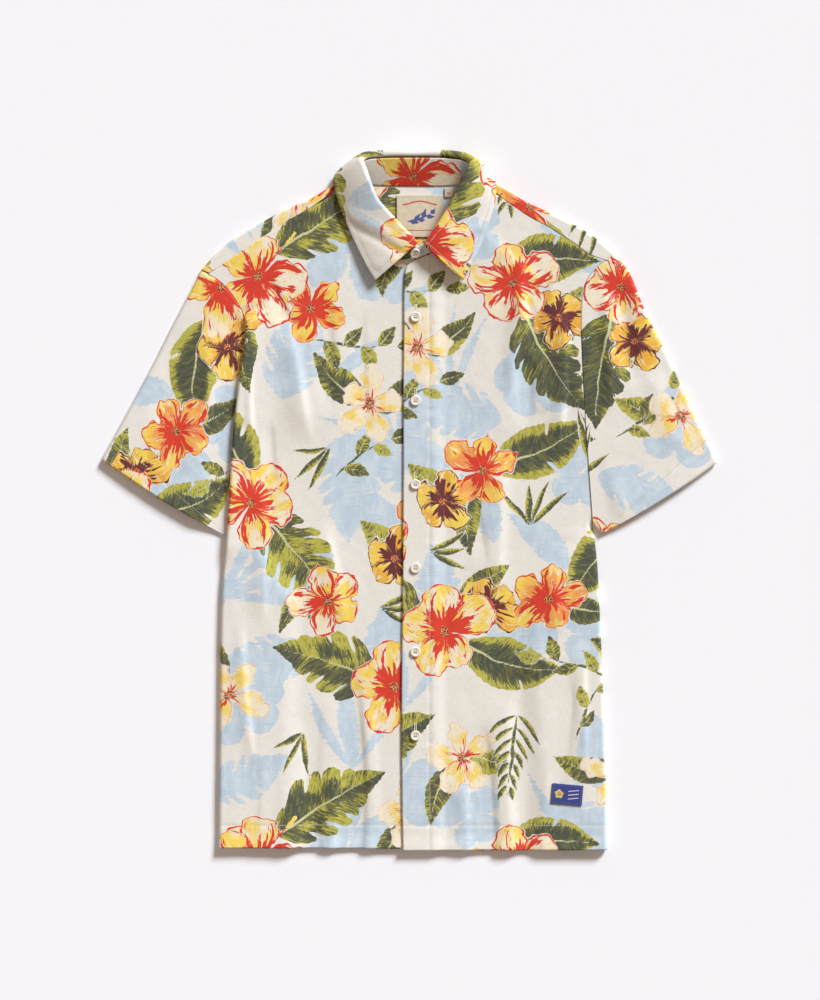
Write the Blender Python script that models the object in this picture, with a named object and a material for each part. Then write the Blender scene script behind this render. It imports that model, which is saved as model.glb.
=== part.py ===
"""A short-sleeved print shirt laid flat, face up, with its sides tucked under.

The origin is on the surface it lies on, under the middle of its outline. +Y runs to the
collar, +X to the wearer's left and +Z up. Tables and plan sizes are in millimetres, and
every mesh is written in metres. Cloth pieces are walls about one middle surface.
"""

import math
from collections import namedtuple

import bpy
import numpy as np

MM = 0.001

# Cloth
WALL = 1.2
COLLAR_WALL = 1.6
TRIM_WALL = 0.8
SEAM_GAP = 0.5
YOKE_GAP = 0.8
LIFT_GAP = 0.4

# Heights of the middle surfaces above the resting surface
BACK_LEVEL = WALL / 2
BACK_MARGIN_LEVEL = 2.6
BACK_RAISE = 4.0
LAYER_STEP = 2.0
CENTRE_AIR = 1.0
PLACKET_STEP = 2.2
SHOULDER_LEVEL = 5.0
FOLD_LEVEL = 6.8
FOLD_MARGIN_LEVEL = 4.8
FOLDED_SLEEVE_LEVEL = 3.0
CUFF_LIFT = 4.5
SLEEVE_REST = 3.0
SLEEVE_RISE = 26.0
FOLD_TOP = 212.0

# Body
PLACKET_FLAT = 26.0
PLACKET_SLOPE = 16.0
SIDE_MARGIN = 62.0
RAISE_RUN = 26.0
RAISE_CLEAR = 4.0
YOKE_SEAM = 238.0

# Buttons
BUTTON_RADIUS = 5.6
BUTTON_HEIGHT = 2.2
BUTTON_HOLE_RADIUS = 0.8
BUTTON_HOLE_OFFSET = 1.5
BUTTON_X = 6.7
FIRST_BUTTON_Y = 201.0
BUTTON_SPACING = 91.9
BUTTON_COUNT = 6
COLLAR_BUTTON = (6.5, 270.2, 11.6)
COLLAR_BUTTON_TILT = (29.0, 5.0)

# Labels
LABEL_CENTRE = (11.5, 312.0)
LABEL_SIZE = (51.0, 46.0)
SIZE_TABS = ((43.2, 338.0), (54.6, 338.0))
SIZE_TAB = (9.0, 10.0)
PATCH_CENTRE = (173.0, -323.0)
PATCH_SIZE = (34.0, 22.0)
PATCH_TURN = -5.0

# Grid counts
FRONT_STEPS = (0, 0.15, 0.22, 0.35, 0.46, 0.53, 0.59, 0.645, 0.7, 0.85, 1)
BACK_STEPS = (0, 0.3, 0.52, 0.6, 0.68, 0.84, 1)
YOKE_STEPS = (0, 0.25, 0.5, 0.75, 1)
ROLL_STEPS = 4
MARGIN_STEPS = 3
FLAT_END = 0.9
LONG_STRETCH = 30.0
SHORT_MARGIN = 1.1

# A row of a panel: from an inner point to an outer point, then turned under or over to
# an end point. turned is 1 for a flat fold, 0.5 for an edge that stands on its side and
# 0 for a flat row. A half-turned row's end point is only where its neighbour meets it.
Row = namedtuple("Row", "inner_x inner_y outer_x outer_y end_x end_y level turned")

# Wearer's left front, hem to shoulder. Its side folds down and back under the body.
FRONT_LEFT = [
    Row(-7.0, -385.0, 217.0, -384.0, 155.0, -384.0, 0.6, 1),
    Row(-8.0, -330.0, 215.8, -330.0, 153.8, -330.0, 0.6, 1),
    Row(-8.5, -270.0, 214.0, -268.0, 152.0, -268.0, 0.6, 1),
    Row(-8.5, -210.0, 212.0, -206.0, 150.0, -206.0, 0.6, 1),
    Row(-8.0, -155.0, 210.0, -154.0, 148.0, -154.0, 0.6, 1),
    Row(-7.5, -110.0, 208.0, -110.0, 148.0, -110.0, 0.6, 1),
    Row(-7.0, -80.0, 206.6, -80.0, 160.0, -80.0, 0.6, 1),
    Row(-7.0, -60.0, 205.0, -60.0, 182.0, -60.0, 0.6, 1),
    Row(-7.0, -48.0, 203.6, -48.0, 199.4, -48.0, 0.6, 1),
    Row(-7.0, -39.0, 202.0, -39.0, 202.0, -39.0, 0.6, 0.5),
    Row(-7.0, -27.0, 201.5, -27.0, 0, 0, 0, 0),
    Row(-6.5, 25.0, 197.5, 25.0, 0, 0, 0, 0),
    Row(-6.5, 80.0, 193.5, 80.0, 0, 0, 0, 0),
    Row(-6.5, 135.0, 190.0, 135.0, 0, 0, 0, 0),
    Row(-6.0, 185.0, 188.0, 185.0, 0, 0, 0, 0),
    Row(-6.0, 225.0, 188.0, 218.0, 0, 0, 0, 0),
    Row(-5.0, 262.0, 190.5, 233.0, 0, 0, 0, 0),
    Row(20.0, 267.0, 195.0, 243.0, 0, 0, 0, 0),
    Row(44.0, 283.0, 201.0, 251.0, 0, 0, 0, 0),
    Row(61.0, 303.0, 207.0, 257.0, 0, 0, 0, 0),
    Row(71.0, 323.0, 211.5, 261.0, 0, 0, 0, 0),
    Row(77.0, 343.0, 216.0, 264.0, 0, 0, 0, 0),
]

# Wearer's right front. Above the underarm its edge folds over the sleeve.
FRONT_RIGHT = [
    Row(22.0, -383.0, -209.0, -382.0, -147.0, -382.0, 0.6, 1),
    Row(22.0, -330.0, -208.6, -330.0, -146.6, -330.0, 0.6, 1),
    Row(22.0, -270.0, -208.0, -268.0, -146.0, -268.0, 0.6, 1),
    Row(22.0, -210.0, -207.4, -206.0, -145.4, -206.0, 0.6, 1),
    Row(22.0, -155.0, -206.8, -154.0, -145.0, -154.0, 0.6, 1),
    Row(22.0, -110.0, -206.0, -110.0, -147.0, -110.0, 0.6, 1),
    Row(22.0, -85.0, -204.4, -85.0, -160.0, -85.0, 0.6, 1),
    Row(22.0, -66.0, -202.6, -66.0, -180.0, -66.0, 0.8, 1),
    Row(22.0, -47.0, -200.7, -47.0, -188.0, -47.0, 4.4, 1),
    Row(22.0, -29.0, -199.0, -29.0, -189.0, -29.0, FOLD_MARGIN_LEVEL, 1),
    Row(22.0, 25.0, -196.2, 25.0, -186.2, 25.0, FOLD_MARGIN_LEVEL, 1),
    Row(22.0, 80.0, -192.5, 80.0, -182.5, 80.0, FOLD_MARGIN_LEVEL, 1),
    Row(22.0, 135.0, -186.0, 135.0, -176.0, 135.0, FOLD_MARGIN_LEVEL, 1),
    Row(22.0, 178.0, -180.0, 174.0, -170.5, 174.0, FOLD_MARGIN_LEVEL, 1),
    Row(22.0, 206.0, -178.6, 191.0, -175.9, 191.0, FOLD_MARGIN_LEVEL, 1),
    Row(22.0, 232.0, -180.4, 200.0, -181.6, 200.0, FOLD_MARGIN_LEVEL, 0.5),
    Row(16.0, 262.0, -185.5, 212.0, 0, 0, 0, 0),
    Row(-5.0, 267.0, -192.5, 223.5, 0, 0, 0, 0),
    Row(-30.0, 281.0, -199.0, 232.0, 0, 0, 0, 0),
    Row(-54.0, 302.0, -206.0, 239.0, 0, 0, 0, 0),
    Row(-68.0, 322.0, -213.5, 244.5, 0, 0, 0, 0),
    Row(-77.0, 338.0, -221.0, 248.0, 0, 0, 0, 0),
]

# The back's rows with margins folded under.
BackRow = namedtuple("BackRow", "y margin turned")
BACK_ROWS = [
    BackRow(-381.0, 56.0, 1),
    BackRow(-330.0, 56.0, 1),
    BackRow(-270.0, 56.0, 1),
    BackRow(-210.0, 56.0, 1),
    BackRow(-155.0, 56.0, 1),
    BackRow(-118.0, 50.0, 1),
    BackRow(-104.0, 2.8, 1),
    BackRow(-97.0, 0.0, 0.5),
]
BACK_INSET = 3.0
ARMHOLE_CLEAR = 1.2

# The back's flat rows under the sleeves: y and how far each end stays inside the edge.
BACK_UPPER_ROWS = [(-82.0, 6.5, 6.5), (-66.0, 14.0, 8.0), (-56.0, 21.0, 12.0),
                   (-42.0, 22.0, 16.0)]

# The bow of a front's top rows, which follows the yoke seam.
SEAM_BOW = {"left": 5.0, "right": 3.0}

# The yoke, from the wearer's right shoulder to the left: out from the back seam to the
# shoulder or neck edge, and over the shoulder to the front seam, which gives end_y.
YOKE = [
    Row(-192.0, 238.0, -228.5, 252.5, -222.0, 0, SHOULDER_LEVEL, 1),
    Row(-180.0, 238.0, -214.0, 268.5, -206.5, 0, SHOULDER_LEVEL, 1),
    Row(-165.0, 238.0, -196.0, 285.0, -188.5, 0, SHOULDER_LEVEL, 1),
    Row(-145.0, 238.0, -164.0, 304.0, -158.0, 0, SHOULDER_LEVEL, 1),
    Row(-122.0, 238.0, -135.0, 319.0, -130.0, 0, SHOULDER_LEVEL, 1),
    Row(-98.0, 238.0, -107.0, 331.0, -103.0, 0, SHOULDER_LEVEL, 1),
    Row(-78.0, 238.0, -84.0, 345.5, -79.0, 0, SHOULDER_LEVEL, 1),
    Row(-72.0, 238.0, -77.5, 350.0, -77.5, 0, SHOULDER_LEVEL, 0.5),
    Row(-64.0, 238.0, -70.0, 352.0, 0, 0, 0, 0),
    Row(-50.0, 238.0, -56.0, 346.0, 0, 0, 0, 0),
    Row(-22.0, 238.0, -25.0, 344.2, 0, 0, 0, 0),
    Row(5.0, 238.0, 5.0, 343.8, 0, 0, 0, 0),
    Row(32.0, 238.0, 35.0, 344.0, 0, 0, 0, 0),
    Row(58.0, 238.0, 64.0, 346.5, 0, 0, 0, 0),
    Row(70.0, 238.0, 76.5, 354.5, 0, 0, 0, 0),
    Row(77.0, 238.0, 84.0, 353.0, 84.0, 0, SHOULDER_LEVEL, 0.5),
    Row(84.0, 238.0, 92.0, 348.5, 85.0, 0, SHOULDER_LEVEL, 1),
    Row(100.0, 238.0, 108.0, 339.0, 102.0, 0, SHOULDER_LEVEL, 1),
    Row(120.0, 238.0, 129.0, 326.5, 124.0, 0, SHOULDER_LEVEL, 1),
    Row(144.0, 238.0, 160.0, 312.5, 153.0, 0, SHOULDER_LEVEL, 1),
    Row(166.0, 238.0, 188.0, 298.5, 181.0, 0, SHOULDER_LEVEL, 1),
    Row(180.0, 238.0, 208.0, 285.0, 200.0, 0, SHOULDER_LEVEL, 1),
    Row(192.0, 238.0, 224.5, 270.2, 216.4, 0, SHOULDER_LEVEL, 1),
]

# Sleeve edges, shoulder to cuff along the outer fold.
Point = namedtuple("Point", "x y")
SLEEVE_LEFT_OUTER = [Point(225, 270), Point(241, 254), Point(259, 207), Point(282, 162),
                     Point(310, 100), Point(338, 41)]
SLEEVE_RIGHT_OUTER = [Point(-229, 251), Point(-236, 237), Point(-256, 199), Point(-282, 147),
                      Point(-316, 84), Point(-338, 44)]
SLEEVE_LEFT_CUFF_END = Point(211.0, -37)
SLEEVE_RIGHT_CUFF_END = Point(-200.5, -40)
CUFF_BOW = 3.0
SLEEVE_RINGS = 6

# The collar, round the neck from the right front end to the left front end: the neck
# seam, the top of the stand, the free edge of the fall, and the radius of its roll.
CollarRow = namedtuple("CollarRow", "nx ny nz rx ry rz ex ey ez roll")
COLLAR = [
    CollarRow(-7, 269, 4.8, 8, 281, 12, -37, 241, 12, 2.8),
    CollarRow(-28, 281.5, 5.2, -8, 297, 13.5, -47, 257, 11, 2.8),
    CollarRow(-46, 297, 5.6, -22, 312, 15, -58, 279, 10, 2.8),
    CollarRow(-60, 312, 6.2, -37, 329, 16, -68, 302, 9.5, 3.0),
    CollarRow(-69, 328, 6.6, -44, 346, 17, -76, 322, 9.5, 3.2),
    CollarRow(-71, 342, 5.6, -48, 359, 17, -81, 340, 9.0, 3.4),
    CollarRow(-66, 351, 3.0, -51, 369, 16, -83, 352, 7.5, 3.6),
    CollarRow(-52, 348, 1.8, -46, 375, 14.5, -74, 362, 4.0, 4.0),
    CollarRow(-34, 346, 1.2, -34, 377, 13, -44, 358, 1.9, 4.6),
    CollarRow(-14, 345.4, 1.2, -14, 377.8, 12.5, -18, 356, 1.7, 5.0),
    CollarRow(5, 345.2, 1.2, 5, 377.8, 12.5, 5, 356, 1.7, 5.0),
    CollarRow(24, 345.2, 1.2, 24, 377.8, 12.5, 28, 356, 1.7, 5.0),
    CollarRow(44, 345.8, 1.2, 45, 377, 13, 54, 358, 1.9, 4.6),
    CollarRow(62, 348.2, 1.8, 60, 374, 14.5, 84, 362, 4.0, 4.0),
    CollarRow(75, 354, 3.0, 66, 367, 16, 92, 354, 7.5, 3.6),
    CollarRow(81, 346, 5.6, 63, 357, 17, 95, 340, 9.0, 3.4),
    CollarRow(77, 328, 6.6, 56, 342, 17, 92, 320, 9.5, 3.2),
    CollarRow(66, 306, 6.4, 46, 323, 16, 85, 298, 9.5, 3.0),
    CollarRow(51, 288.5, 6.6, 34, 303, 15, 76, 274, 10, 2.8),
    CollarRow(33, 275, 6.9, 19, 281, 13.5, 59, 241, 12, 2.8),
]
COLLAR_STATIONS = 36
ROLL_OVER_STEPS = 5
FALL_STEPS = 4
FALL_SAG = 1.5
STAND_STEPS = 2
STAND_DROP = 3.0
FALL_DROP = 1.0

# The ends of the stand, past the fall, the left end over the right.
TabRow = namedtuple("TabRow", "nx ny nz rx ry rz")
STAND_END_RIGHT = [
    TabRow(14, 266.8, 4.4, 17, 274, 7.5),
]
STAND_END_LEFT = [
    TabRow(12, 267.6, 6.9, 8, 277, 12.3),
    TabRow(-9, 263.8, 6.9, -5, 271, 11),
]

# Soft folds in the fronts: from one point to another, with a half width and a height.
Fold = namedtuple("Fold", "x0 y0 x1 y1 width height")
FOLDS = [
    Fold(150, 258, 128, 70, 15, -1.1),
    Fold(120, 240, 100, 120, 16, 0.8),
    Fold(106, -230, 112, -385, 16, 0.8),
    Fold(-60, -200, -66, -385, 15, -1.0),
    Fold(-100, -250, -102, -385, 16, 0.8),
    Fold(-140, 200, -110, 60, 18, 0.8),
]


def smoothstep(value):
    """Rises from 0 to 1 as value goes from 0 to 1, level at both ends."""
    t = np.clip(value, 0.0, 1.0)
    return t * t * (3.0 - 2.0 * t)


def side_edge(y, side):
    """The half width of the laid body at y, to the wearer's left (+1) or right (-1)."""
    table = FRONT_LEFT if side > 0 else FRONT_RIGHT
    ys = [row.outer_y for row in table[:16]]
    xs = [abs(row.outer_x) for row in table[:16]]
    return np.interp(y, ys, xs)


def back_height(x, y):
    """The back's middle surface: flat in the middle, raised over the tucked margins."""
    x = np.asarray(x, float)
    edge = np.where(x > 0, side_edge(y, 1), side_edge(y, -1))
    tuck = np.interp(y, [-110.0, -85.0, -62.0, -45.0], [SIDE_MARGIN, 48.0, 28.0, 12.0])
    amount = np.interp(y, [-90.0, -62.0, -45.0, -30.0], [1.0, 0.8, 0.45, 0.0])
    start = edge - tuck - RAISE_CLEAR - RAISE_RUN
    return BACK_LEVEL + BACK_RAISE * amount * smoothstep((np.abs(x) - start) / RAISE_RUN)


def folds(x, y):
    """The sum of the soft folds: a bell across each one, fading at both of its ends."""
    total = np.zeros_like(np.asarray(x, float))
    for fold in FOLDS:
        run = np.array([fold.x1 - fold.x0, fold.y1 - fold.y0])
        length = np.hypot(*run)
        along = ((x - fold.x0) * run[0] + (y - fold.y0) * run[1]) / length
        across = (-(x - fold.x0) * run[1] + (y - fold.y0) * run[0]) / length
        open_end = 1.0 if fold.y1 < -380 else smoothstep((length - along) / 40.0)
        fade = smoothstep(along / 40.0) * open_end
        total = total + fold.height * fade * np.exp(-((across / fold.width) ** 2))
    return total


def front_height(x, y, side):
    """A front's middle surface, above the back, the other front and the tucked layers."""
    x = np.asarray(x, float)
    y = np.asarray(y, float)
    under = back_height(x, y)
    raised = (under - BACK_LEVEL) / BACK_RAISE
    height = under + LAYER_STEP + CENTRE_AIR * (1.0 - raised)
    chest = smoothstep((y - 40.0) / 90.0) * smoothstep((x * side - 40.0) / 50.0)
    height = height + (SHOULDER_LEVEL - height) * chest
    if side > 0:
        placket = smoothstep((PLACKET_FLAT + PLACKET_SLOPE - x) / PLACKET_SLOPE)
        height = height + placket * PLACKET_STEP
    else:
        edge = side_edge(y, -1)
        near = smoothstep((np.abs(x) - edge + 46.0) / 34.0)
        near = near * smoothstep((y + 78.0) / 30.0) * smoothstep((FOLD_TOP - y) / 16.0)
        height = height + (FOLD_LEVEL - height) * near
    clear = smoothstep((x * side - 30.0) / 30.0)
    return height + folds(x, y) * clear


def folded_path(row, height, bow, steps):
    """One row of a panel as points: the main run, the roll at the edge and the margin."""
    inner = np.array([row.inner_x, row.inner_y])
    outer = np.array([row.outer_x, row.outer_y])
    run = outer - inner
    length = np.hypot(*run)
    ahead = run / length
    sideways = np.array([-ahead[1], ahead[0]]) * np.sign(ahead[0] or 1.0)
    steps = np.array(steps, float)
    arch = 4.0 * bow * steps * (1.0 - steps)
    ends = ROLL_STEPS + MARGIN_STEPS
    if not row.turned:
        stop = length - ends * FLAT_END
        plan = inner + np.outer(steps * stop, ahead) + np.outer(arch, sideways)
        tail = stop + FLAT_END * np.arange(1, ends + 1)
        plan = np.vstack([plan, inner + np.outer(tail, ahead)])
        return np.column_stack([plan, height(plan[:, 0], plan[:, 1])])
    edge_height = float(height(outer[0], outer[1]))
    radius = (edge_height - row.level) / 2.0
    stop = length - abs(radius)
    plan = inner + np.outer(steps * stop, ahead) + np.outer(arch, sideways)
    main = np.column_stack([plan, height(plan[:, 0], plan[:, 1])])
    centre = inner + ahead * stop
    angles = np.linspace(0.0, math.pi * row.turned, ROLL_STEPS + 1)[1:]
    rolled = centre + np.outer(abs(radius) * np.sin(angles), ahead)
    roll = np.column_stack([rolled, edge_height - radius * (1.0 - np.cos(angles))])
    along = np.linspace(0.0, 1.0, MARGIN_STEPS + 1)[1:]
    if row.turned < 1:
        drop = np.array([0.0, 0.0, -SHORT_MARGIN * np.sign(radius)])
        return np.vstack([main, roll, roll[-1] + np.outer(along, drop)])
    end = np.array([row.end_x, row.end_y])
    back = centre + np.outer(along, end - centre)
    margin = np.column_stack([back, np.full(MARGIN_STEPS, row.level)])
    return np.vstack([main, roll, margin])


def surface_normals(grid, closed):
    """The unit normal at every point of a grid, from its neighbours' differences."""
    if closed:
        along = np.roll(grid, -1, axis=1) - np.roll(grid, 1, axis=1)
    else:
        along = np.gradient(grid, axis=1)
    across = np.gradient(grid, axis=0)
    normal = np.cross(along, across)
    return normal / np.linalg.norm(normal, axis=2, keepdims=True)


def thick_sheet(name, grid, wall, material, closed=False):
    """A closed wall about a grid of points in millimetres, rows by columns."""
    grid = np.asarray(grid, float)
    offset = surface_normals(grid, closed) * wall / 2.0
    rows, cols = grid.shape[:2]
    points = np.concatenate([(grid + offset).reshape(-1, 3), (grid - offset).reshape(-1, 3)])
    count = rows * cols
    faces = []
    last = cols if closed else cols - 1
    for i in range(rows - 1):
        for j in range(last):
            a = i * cols + j
            b = i * cols + (j + 1) % cols
            c = b + cols
            d = a + cols
            faces += [(a, b, c), (a, c, d)]
            faces += [(a + count, c + count, b + count), (a + count, d + count, c + count)]
    for j in range(last):
        a, b = j, (j + 1) % cols
        faces += [(b, a, a + count, b + count)]
        c, d = (rows - 1) * cols + a, (rows - 1) * cols + b
        faces += [(c, d, d + count, c + count)]
    if not closed:
        for i in range(rows - 1):
            a, b = i * cols, (i + 1) * cols
            faces += [(a, b, b + count, a + count)]
            c, d = a + cols - 1, b + cols - 1
            faces += [(d, c, c + count, d + count)]
    return add_object(name, points, faces, material)


def add_object(name, points, faces, material):
    """A named object from points in millimetres, with its faces turned outwards."""
    mesh = bpy.data.meshes.new(name)
    mesh.from_pydata((np.asarray(points) * MM).tolist(), [], faces)
    mesh.validate()
    mesh.materials.append(material)
    turn_outwards(mesh)
    mesh.shade_smooth()
    mesh.set_sharp_from_angle(angle=math.radians(40.0))
    made = bpy.data.objects.new(name, mesh)
    bpy.context.collection.objects.link(made)
    return made


def turn_outwards(mesh):
    """Flips every face where the signed volume shows that the shape is inside out."""
    mesh.calc_loop_triangles()
    volume = 0.0
    for triangle in mesh.loop_triangles:
        a, b, c = (mesh.vertices[k].co for k in triangle.vertices)
        volume += a.dot(b.cross(c))
    if volume < 0.0:
        mesh.flip_normals()


def cloth_material(name, colour, roughness=0.85):
    """A matt Principled material."""
    made = bpy.data.materials.new(name)
    made.use_nodes = True
    shader = made.node_tree.nodes["Principled BSDF"]
    shader.inputs["Base Color"].default_value = (*colour, 1.0)
    shader.inputs["Roughness"].default_value = roughness
    shader.inputs["Metallic"].default_value = 0.0
    return made


def build_front(name, table, side, bow, material):
    """One front: rows from the hem to the yoke seam."""
    grid = []
    for index, row in enumerate(table):
        share = max(0, index - 14) / (len(table) - 15)
        height = lambda x, y: front_height(x, y, side)
        grid.append(folded_path(row, height, bow * share, FRONT_STEPS))
    return thick_sheet(name, grid, WALL, material)


def armhole(side):
    """The armhole points, underarm to shoulder, of the wearer's left (+1) or right (-1)."""
    rows = FRONT_LEFT[10:] if side > 0 else FRONT_RIGHT[9:]
    points = [(row.end_x, row.end_y) if row.turned else (row.outer_x, row.outer_y)
              for row in rows]
    shoulder = YOKE[-1] if side > 0 else YOKE[0]
    points.append((shoulder.outer_x, shoulder.outer_y))
    return split_long(np.array(points, float))


def split_long(points):
    """A run of plan points with a point added in the middle of each long stretch."""
    result = [points[0]]
    for start, end in zip(points[:-1], points[1:]):
        if np.hypot(*(end - start)) > LONG_STRETCH:
            result.append((start + end) / 2.0)
        result.append(end)
    return np.array(result)


def back_armhole(side):
    """The armhole points of the back and yoke, underarm to shoulder."""
    points = armhole(side)
    yoke = YOKE[-1] if side > 0 else YOKE[0]
    seam = np.array([yoke.inner_x, yoke.inner_y])
    tip = np.array([yoke.outer_x, yoke.outer_y])
    count = len(points)
    below = points[points[:, 1] < YOKE_SEAM - 6.0]
    above = count - len(below)
    share = np.linspace(0.0, 1.0, above)
    return np.vstack([below, seam + np.outer(share, tip - seam)])


def build_back(material):
    """The back, hem to yoke seam, with a margin folded under at each side."""
    grid = []
    for y, margin, turned in BACK_ROWS:
        halves = []
        for side in (1, -1):
            edge = side_edge(y, side) - BACK_INSET
            end = edge - margin
            row = Row(0.0, y, side * edge, y, side * end, y, BACK_MARGIN_LEVEL, turned)
            halves.append(folded_path(row, back_height, 0.0, BACK_STEPS))
        grid.append(np.vstack([halves[1][::-1], halves[0][1:]]))
    left = back_armhole(1)
    right = back_armhole(-1)
    for y, inset_right, inset_left in BACK_UPPER_ROWS:
        right_end = (inset_right - side_edge(y, -1), y)
        left_end = (side_edge(y, 1) - inset_left, y)
        grid.append(flat_back_row(right_end, left_end))
    inset = np.array([ARMHOLE_CLEAR, 0.0])
    for k in range(len(left)):
        if left[k][1] < YOKE_SEAM - 6.0 and right[k][1] < YOKE_SEAM - 6.0:
            grid.append(flat_back_row(right[k] + inset, left[k] - inset))
    seam = YOKE_SEAM - SEAM_GAP
    grid.append(flat_back_row((YOKE[0].inner_x, seam), (YOKE[-1].inner_x, seam)))
    return thick_sheet("back", grid, WALL, material)


def flat_back_row(right, left):
    """A row of the back with no folded margins, from its right end to its left end."""
    halves = []
    middle = (right[1] + left[1]) / 2.0
    for end in (left, right):
        row = Row(0.0, middle, end[0], end[1], 0, 0, 0, 0)
        halves.append(folded_path(row, back_height, 0.0, BACK_STEPS))
    return np.vstack([halves[1][::-1], halves[0][1:]])


def yoke_height(x, y):
    """The yoke's lower layer lies on the surface."""
    return np.full(np.shape(x), BACK_LEVEL)


def front_seam(side):
    """The plan points of a front's top edge, in order of x."""
    table = FRONT_LEFT if side > 0 else FRONT_RIGHT
    bow = SEAM_BOW["left"] if side > 0 else SEAM_BOW["right"]
    height = lambda x, y: front_height(x, y, side)
    path = folded_path(table[-1], height, bow, FRONT_STEPS)
    return path[np.argsort(path[:, 0]), 0:2]


def build_yoke(material):
    """The yoke: one layer at the back, turned over both shoulders to the front seams."""
    grid = []
    for row in YOKE:
        seam = front_seam(1 if row.end_x > 0 else -1)
        end_y = np.interp(row.end_x, seam[:, 0], seam[:, 1]) + YOKE_GAP
        grid.append(folded_path(row._replace(end_y=end_y), yoke_height, 0.0, YOKE_STEPS))
    return thick_sheet("yoke", grid, WALL, material)


def outward(points, distance):
    """Moves a run of plan points sideways, away from the body's middle line."""
    run = np.gradient(points, axis=0)
    run /= np.linalg.norm(run, axis=1, keepdims=True)
    normal = np.column_stack([run[:, 1], -run[:, 0]])
    return points + normal * distance * np.sign((normal * points).sum(1).mean())


def shares(points):
    """How far along a run of plan points each one lies, from 0 to 1."""
    steps = np.hypot(*np.diff(points, axis=0).T)
    along = np.concatenate([[0.0], np.cumsum(steps)])
    return along / along[-1]


def spread(points, wanted):
    """Points at the wanted shares of the length of a run of plan points."""
    points = np.asarray(points, float)
    along = shares(points)
    return np.column_stack([np.interp(wanted, along, points[:, k]) for k in (0, 1)])


def blend_patch(near, far, inner, outer):
    """Plan points between four edges: armhole, cuff, underarm edge and outer fold."""
    u = shares(near)[None, :, None]
    v = np.linspace(0.0, 1.0, len(outer))[:, None, None]
    length = (1.0 - v) * near[None] + v * far[None]
    width = (1.0 - u) * inner[:, None] + u * outer[:, None]
    corner = (1.0 - v) * ((1.0 - u) * near[0] + u * near[-1])
    corner = corner + v * ((1.0 - u) * far[0] + u * far[-1])
    return length + width - corner


def cuff_edge(start, end, wanted):
    """The cuff's plan points at the wanted shares, bowed a little outwards."""
    line = end - start
    square = np.array([line[1], -line[0]]) / np.hypot(*line)
    down = square * -np.sign(square[1])
    bow = 4.0 * CUFF_BOW * wanted * (1.0 - wanted)
    return start + np.outer(wanted, line) + np.outer(bow, down)


def build_sleeve(name, side, outer_table, cuff_end, material):
    """A flattened tube from the armhole to the cuff, with a fold along its outer edge."""
    rings = np.linspace(0.0, 1.0, SLEEVE_RINGS)
    layers = []
    for near in (armhole(side), back_armhole(side)):
        near = outward(near, SEAM_GAP)
        outer = spread([(p.x, p.y) for p in outer_table], rings)
        outer[0] = near[-1]
        inner = spread([near[0], cuff_end], rings)
        far = cuff_edge(inner[-1], outer[-1], shares(near))
        layers.append(blend_patch(near, far, inner, outer))
    grid = [sleeve_ring(layers[0][k], layers[1][k], rings[k], side)
            for k in range(SLEEVE_RINGS)]
    return thick_sheet(name, grid, WALL, material, closed=True)


def sleeve_levels(share, along, x, y, side):
    """The lower and upper middle surfaces at a share out to the fold and down to the cuff."""
    lift = CUFF_LIFT * along**2 * np.sin(math.pi * (0.12 + 0.76 * share))
    edge = side_edge(y, side)
    away = smoothstep((np.abs(x) - edge - SLEEVE_REST) / SLEEVE_RISE)
    if side > 0:
        at_body = front_height(edge, y, 1)
    else:
        hidden = smoothstep((FOLD_TOP - y) / 20.0)
        at_body = SHOULDER_LEVEL + (FOLDED_SLEEVE_LEVEL - SHOULDER_LEVEL) * hidden
    upper = at_body + (SHOULDER_LEVEL - at_body) * away
    return BACK_LEVEL + lift * away, upper + lift * away


def sleeve_ring(top, low, along, side):
    """One closed ring: the upper layer, the outer roll, the lower layer, the inner roll."""
    share = np.linspace(0.0, 1.0, len(top))
    lower, upper = sleeve_levels(share, along, top[:, 0], top[:, 1], side)
    radius = (upper - lower) / 2.0
    for line in (top, low):
        line[-1] -= unit(line[-1] - line[-2]) * radius[-1]
        line[0] -= unit(line[0] - line[1]) * radius[0]
    points_up = np.column_stack([top, upper])
    points_low = np.column_stack([low, lower])
    out = roll_between(points_up[-1], points_low[-1], points_up[-1] - points_up[-2])
    back = roll_between(points_low[0], points_up[0], points_up[0] - points_up[1])
    return np.vstack([points_up, out, points_low[::-1], back])


def roll_between(start, end, direction):
    """Points of a half round from start to end, bulging along a plan direction."""
    ahead = np.array([direction[0], direction[1], 0.0])
    ahead /= np.linalg.norm(ahead)
    radius = abs(start[2] - end[2]) / 2.0
    angles = np.linspace(0.0, math.pi, 5)[1:-1]
    share = (1.0 - np.cos(angles)) / 2.0
    base = np.outer(1.0 - share, start) + np.outer(share, end)
    return base + np.outer(radius * np.sin(angles), ahead)


def smooth_rows(table, count):
    """A table's rows read at evenly spaced places on smooth curves through them."""
    values = np.array(table, float)
    padded = np.vstack([2 * values[0] - values[1], values, 2 * values[-1] - values[-2]])
    places = np.linspace(0.0, len(values) - 1.0, count)
    index = np.minimum(places.astype(int), len(values) - 2)
    t = (places - index)[:, None]
    a, b, c, d = (padded[index + k] for k in range(4))
    return 0.5 * (2 * b + (c - a) * t + (2 * a - 5 * b + 4 * c - d) * t**2
                  + (3 * b - a - 3 * c + d) * t**3)


def unit(vectors):
    """Vectors scaled to length 1."""
    return vectors / np.linalg.norm(vectors, axis=-1, keepdims=True)


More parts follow.
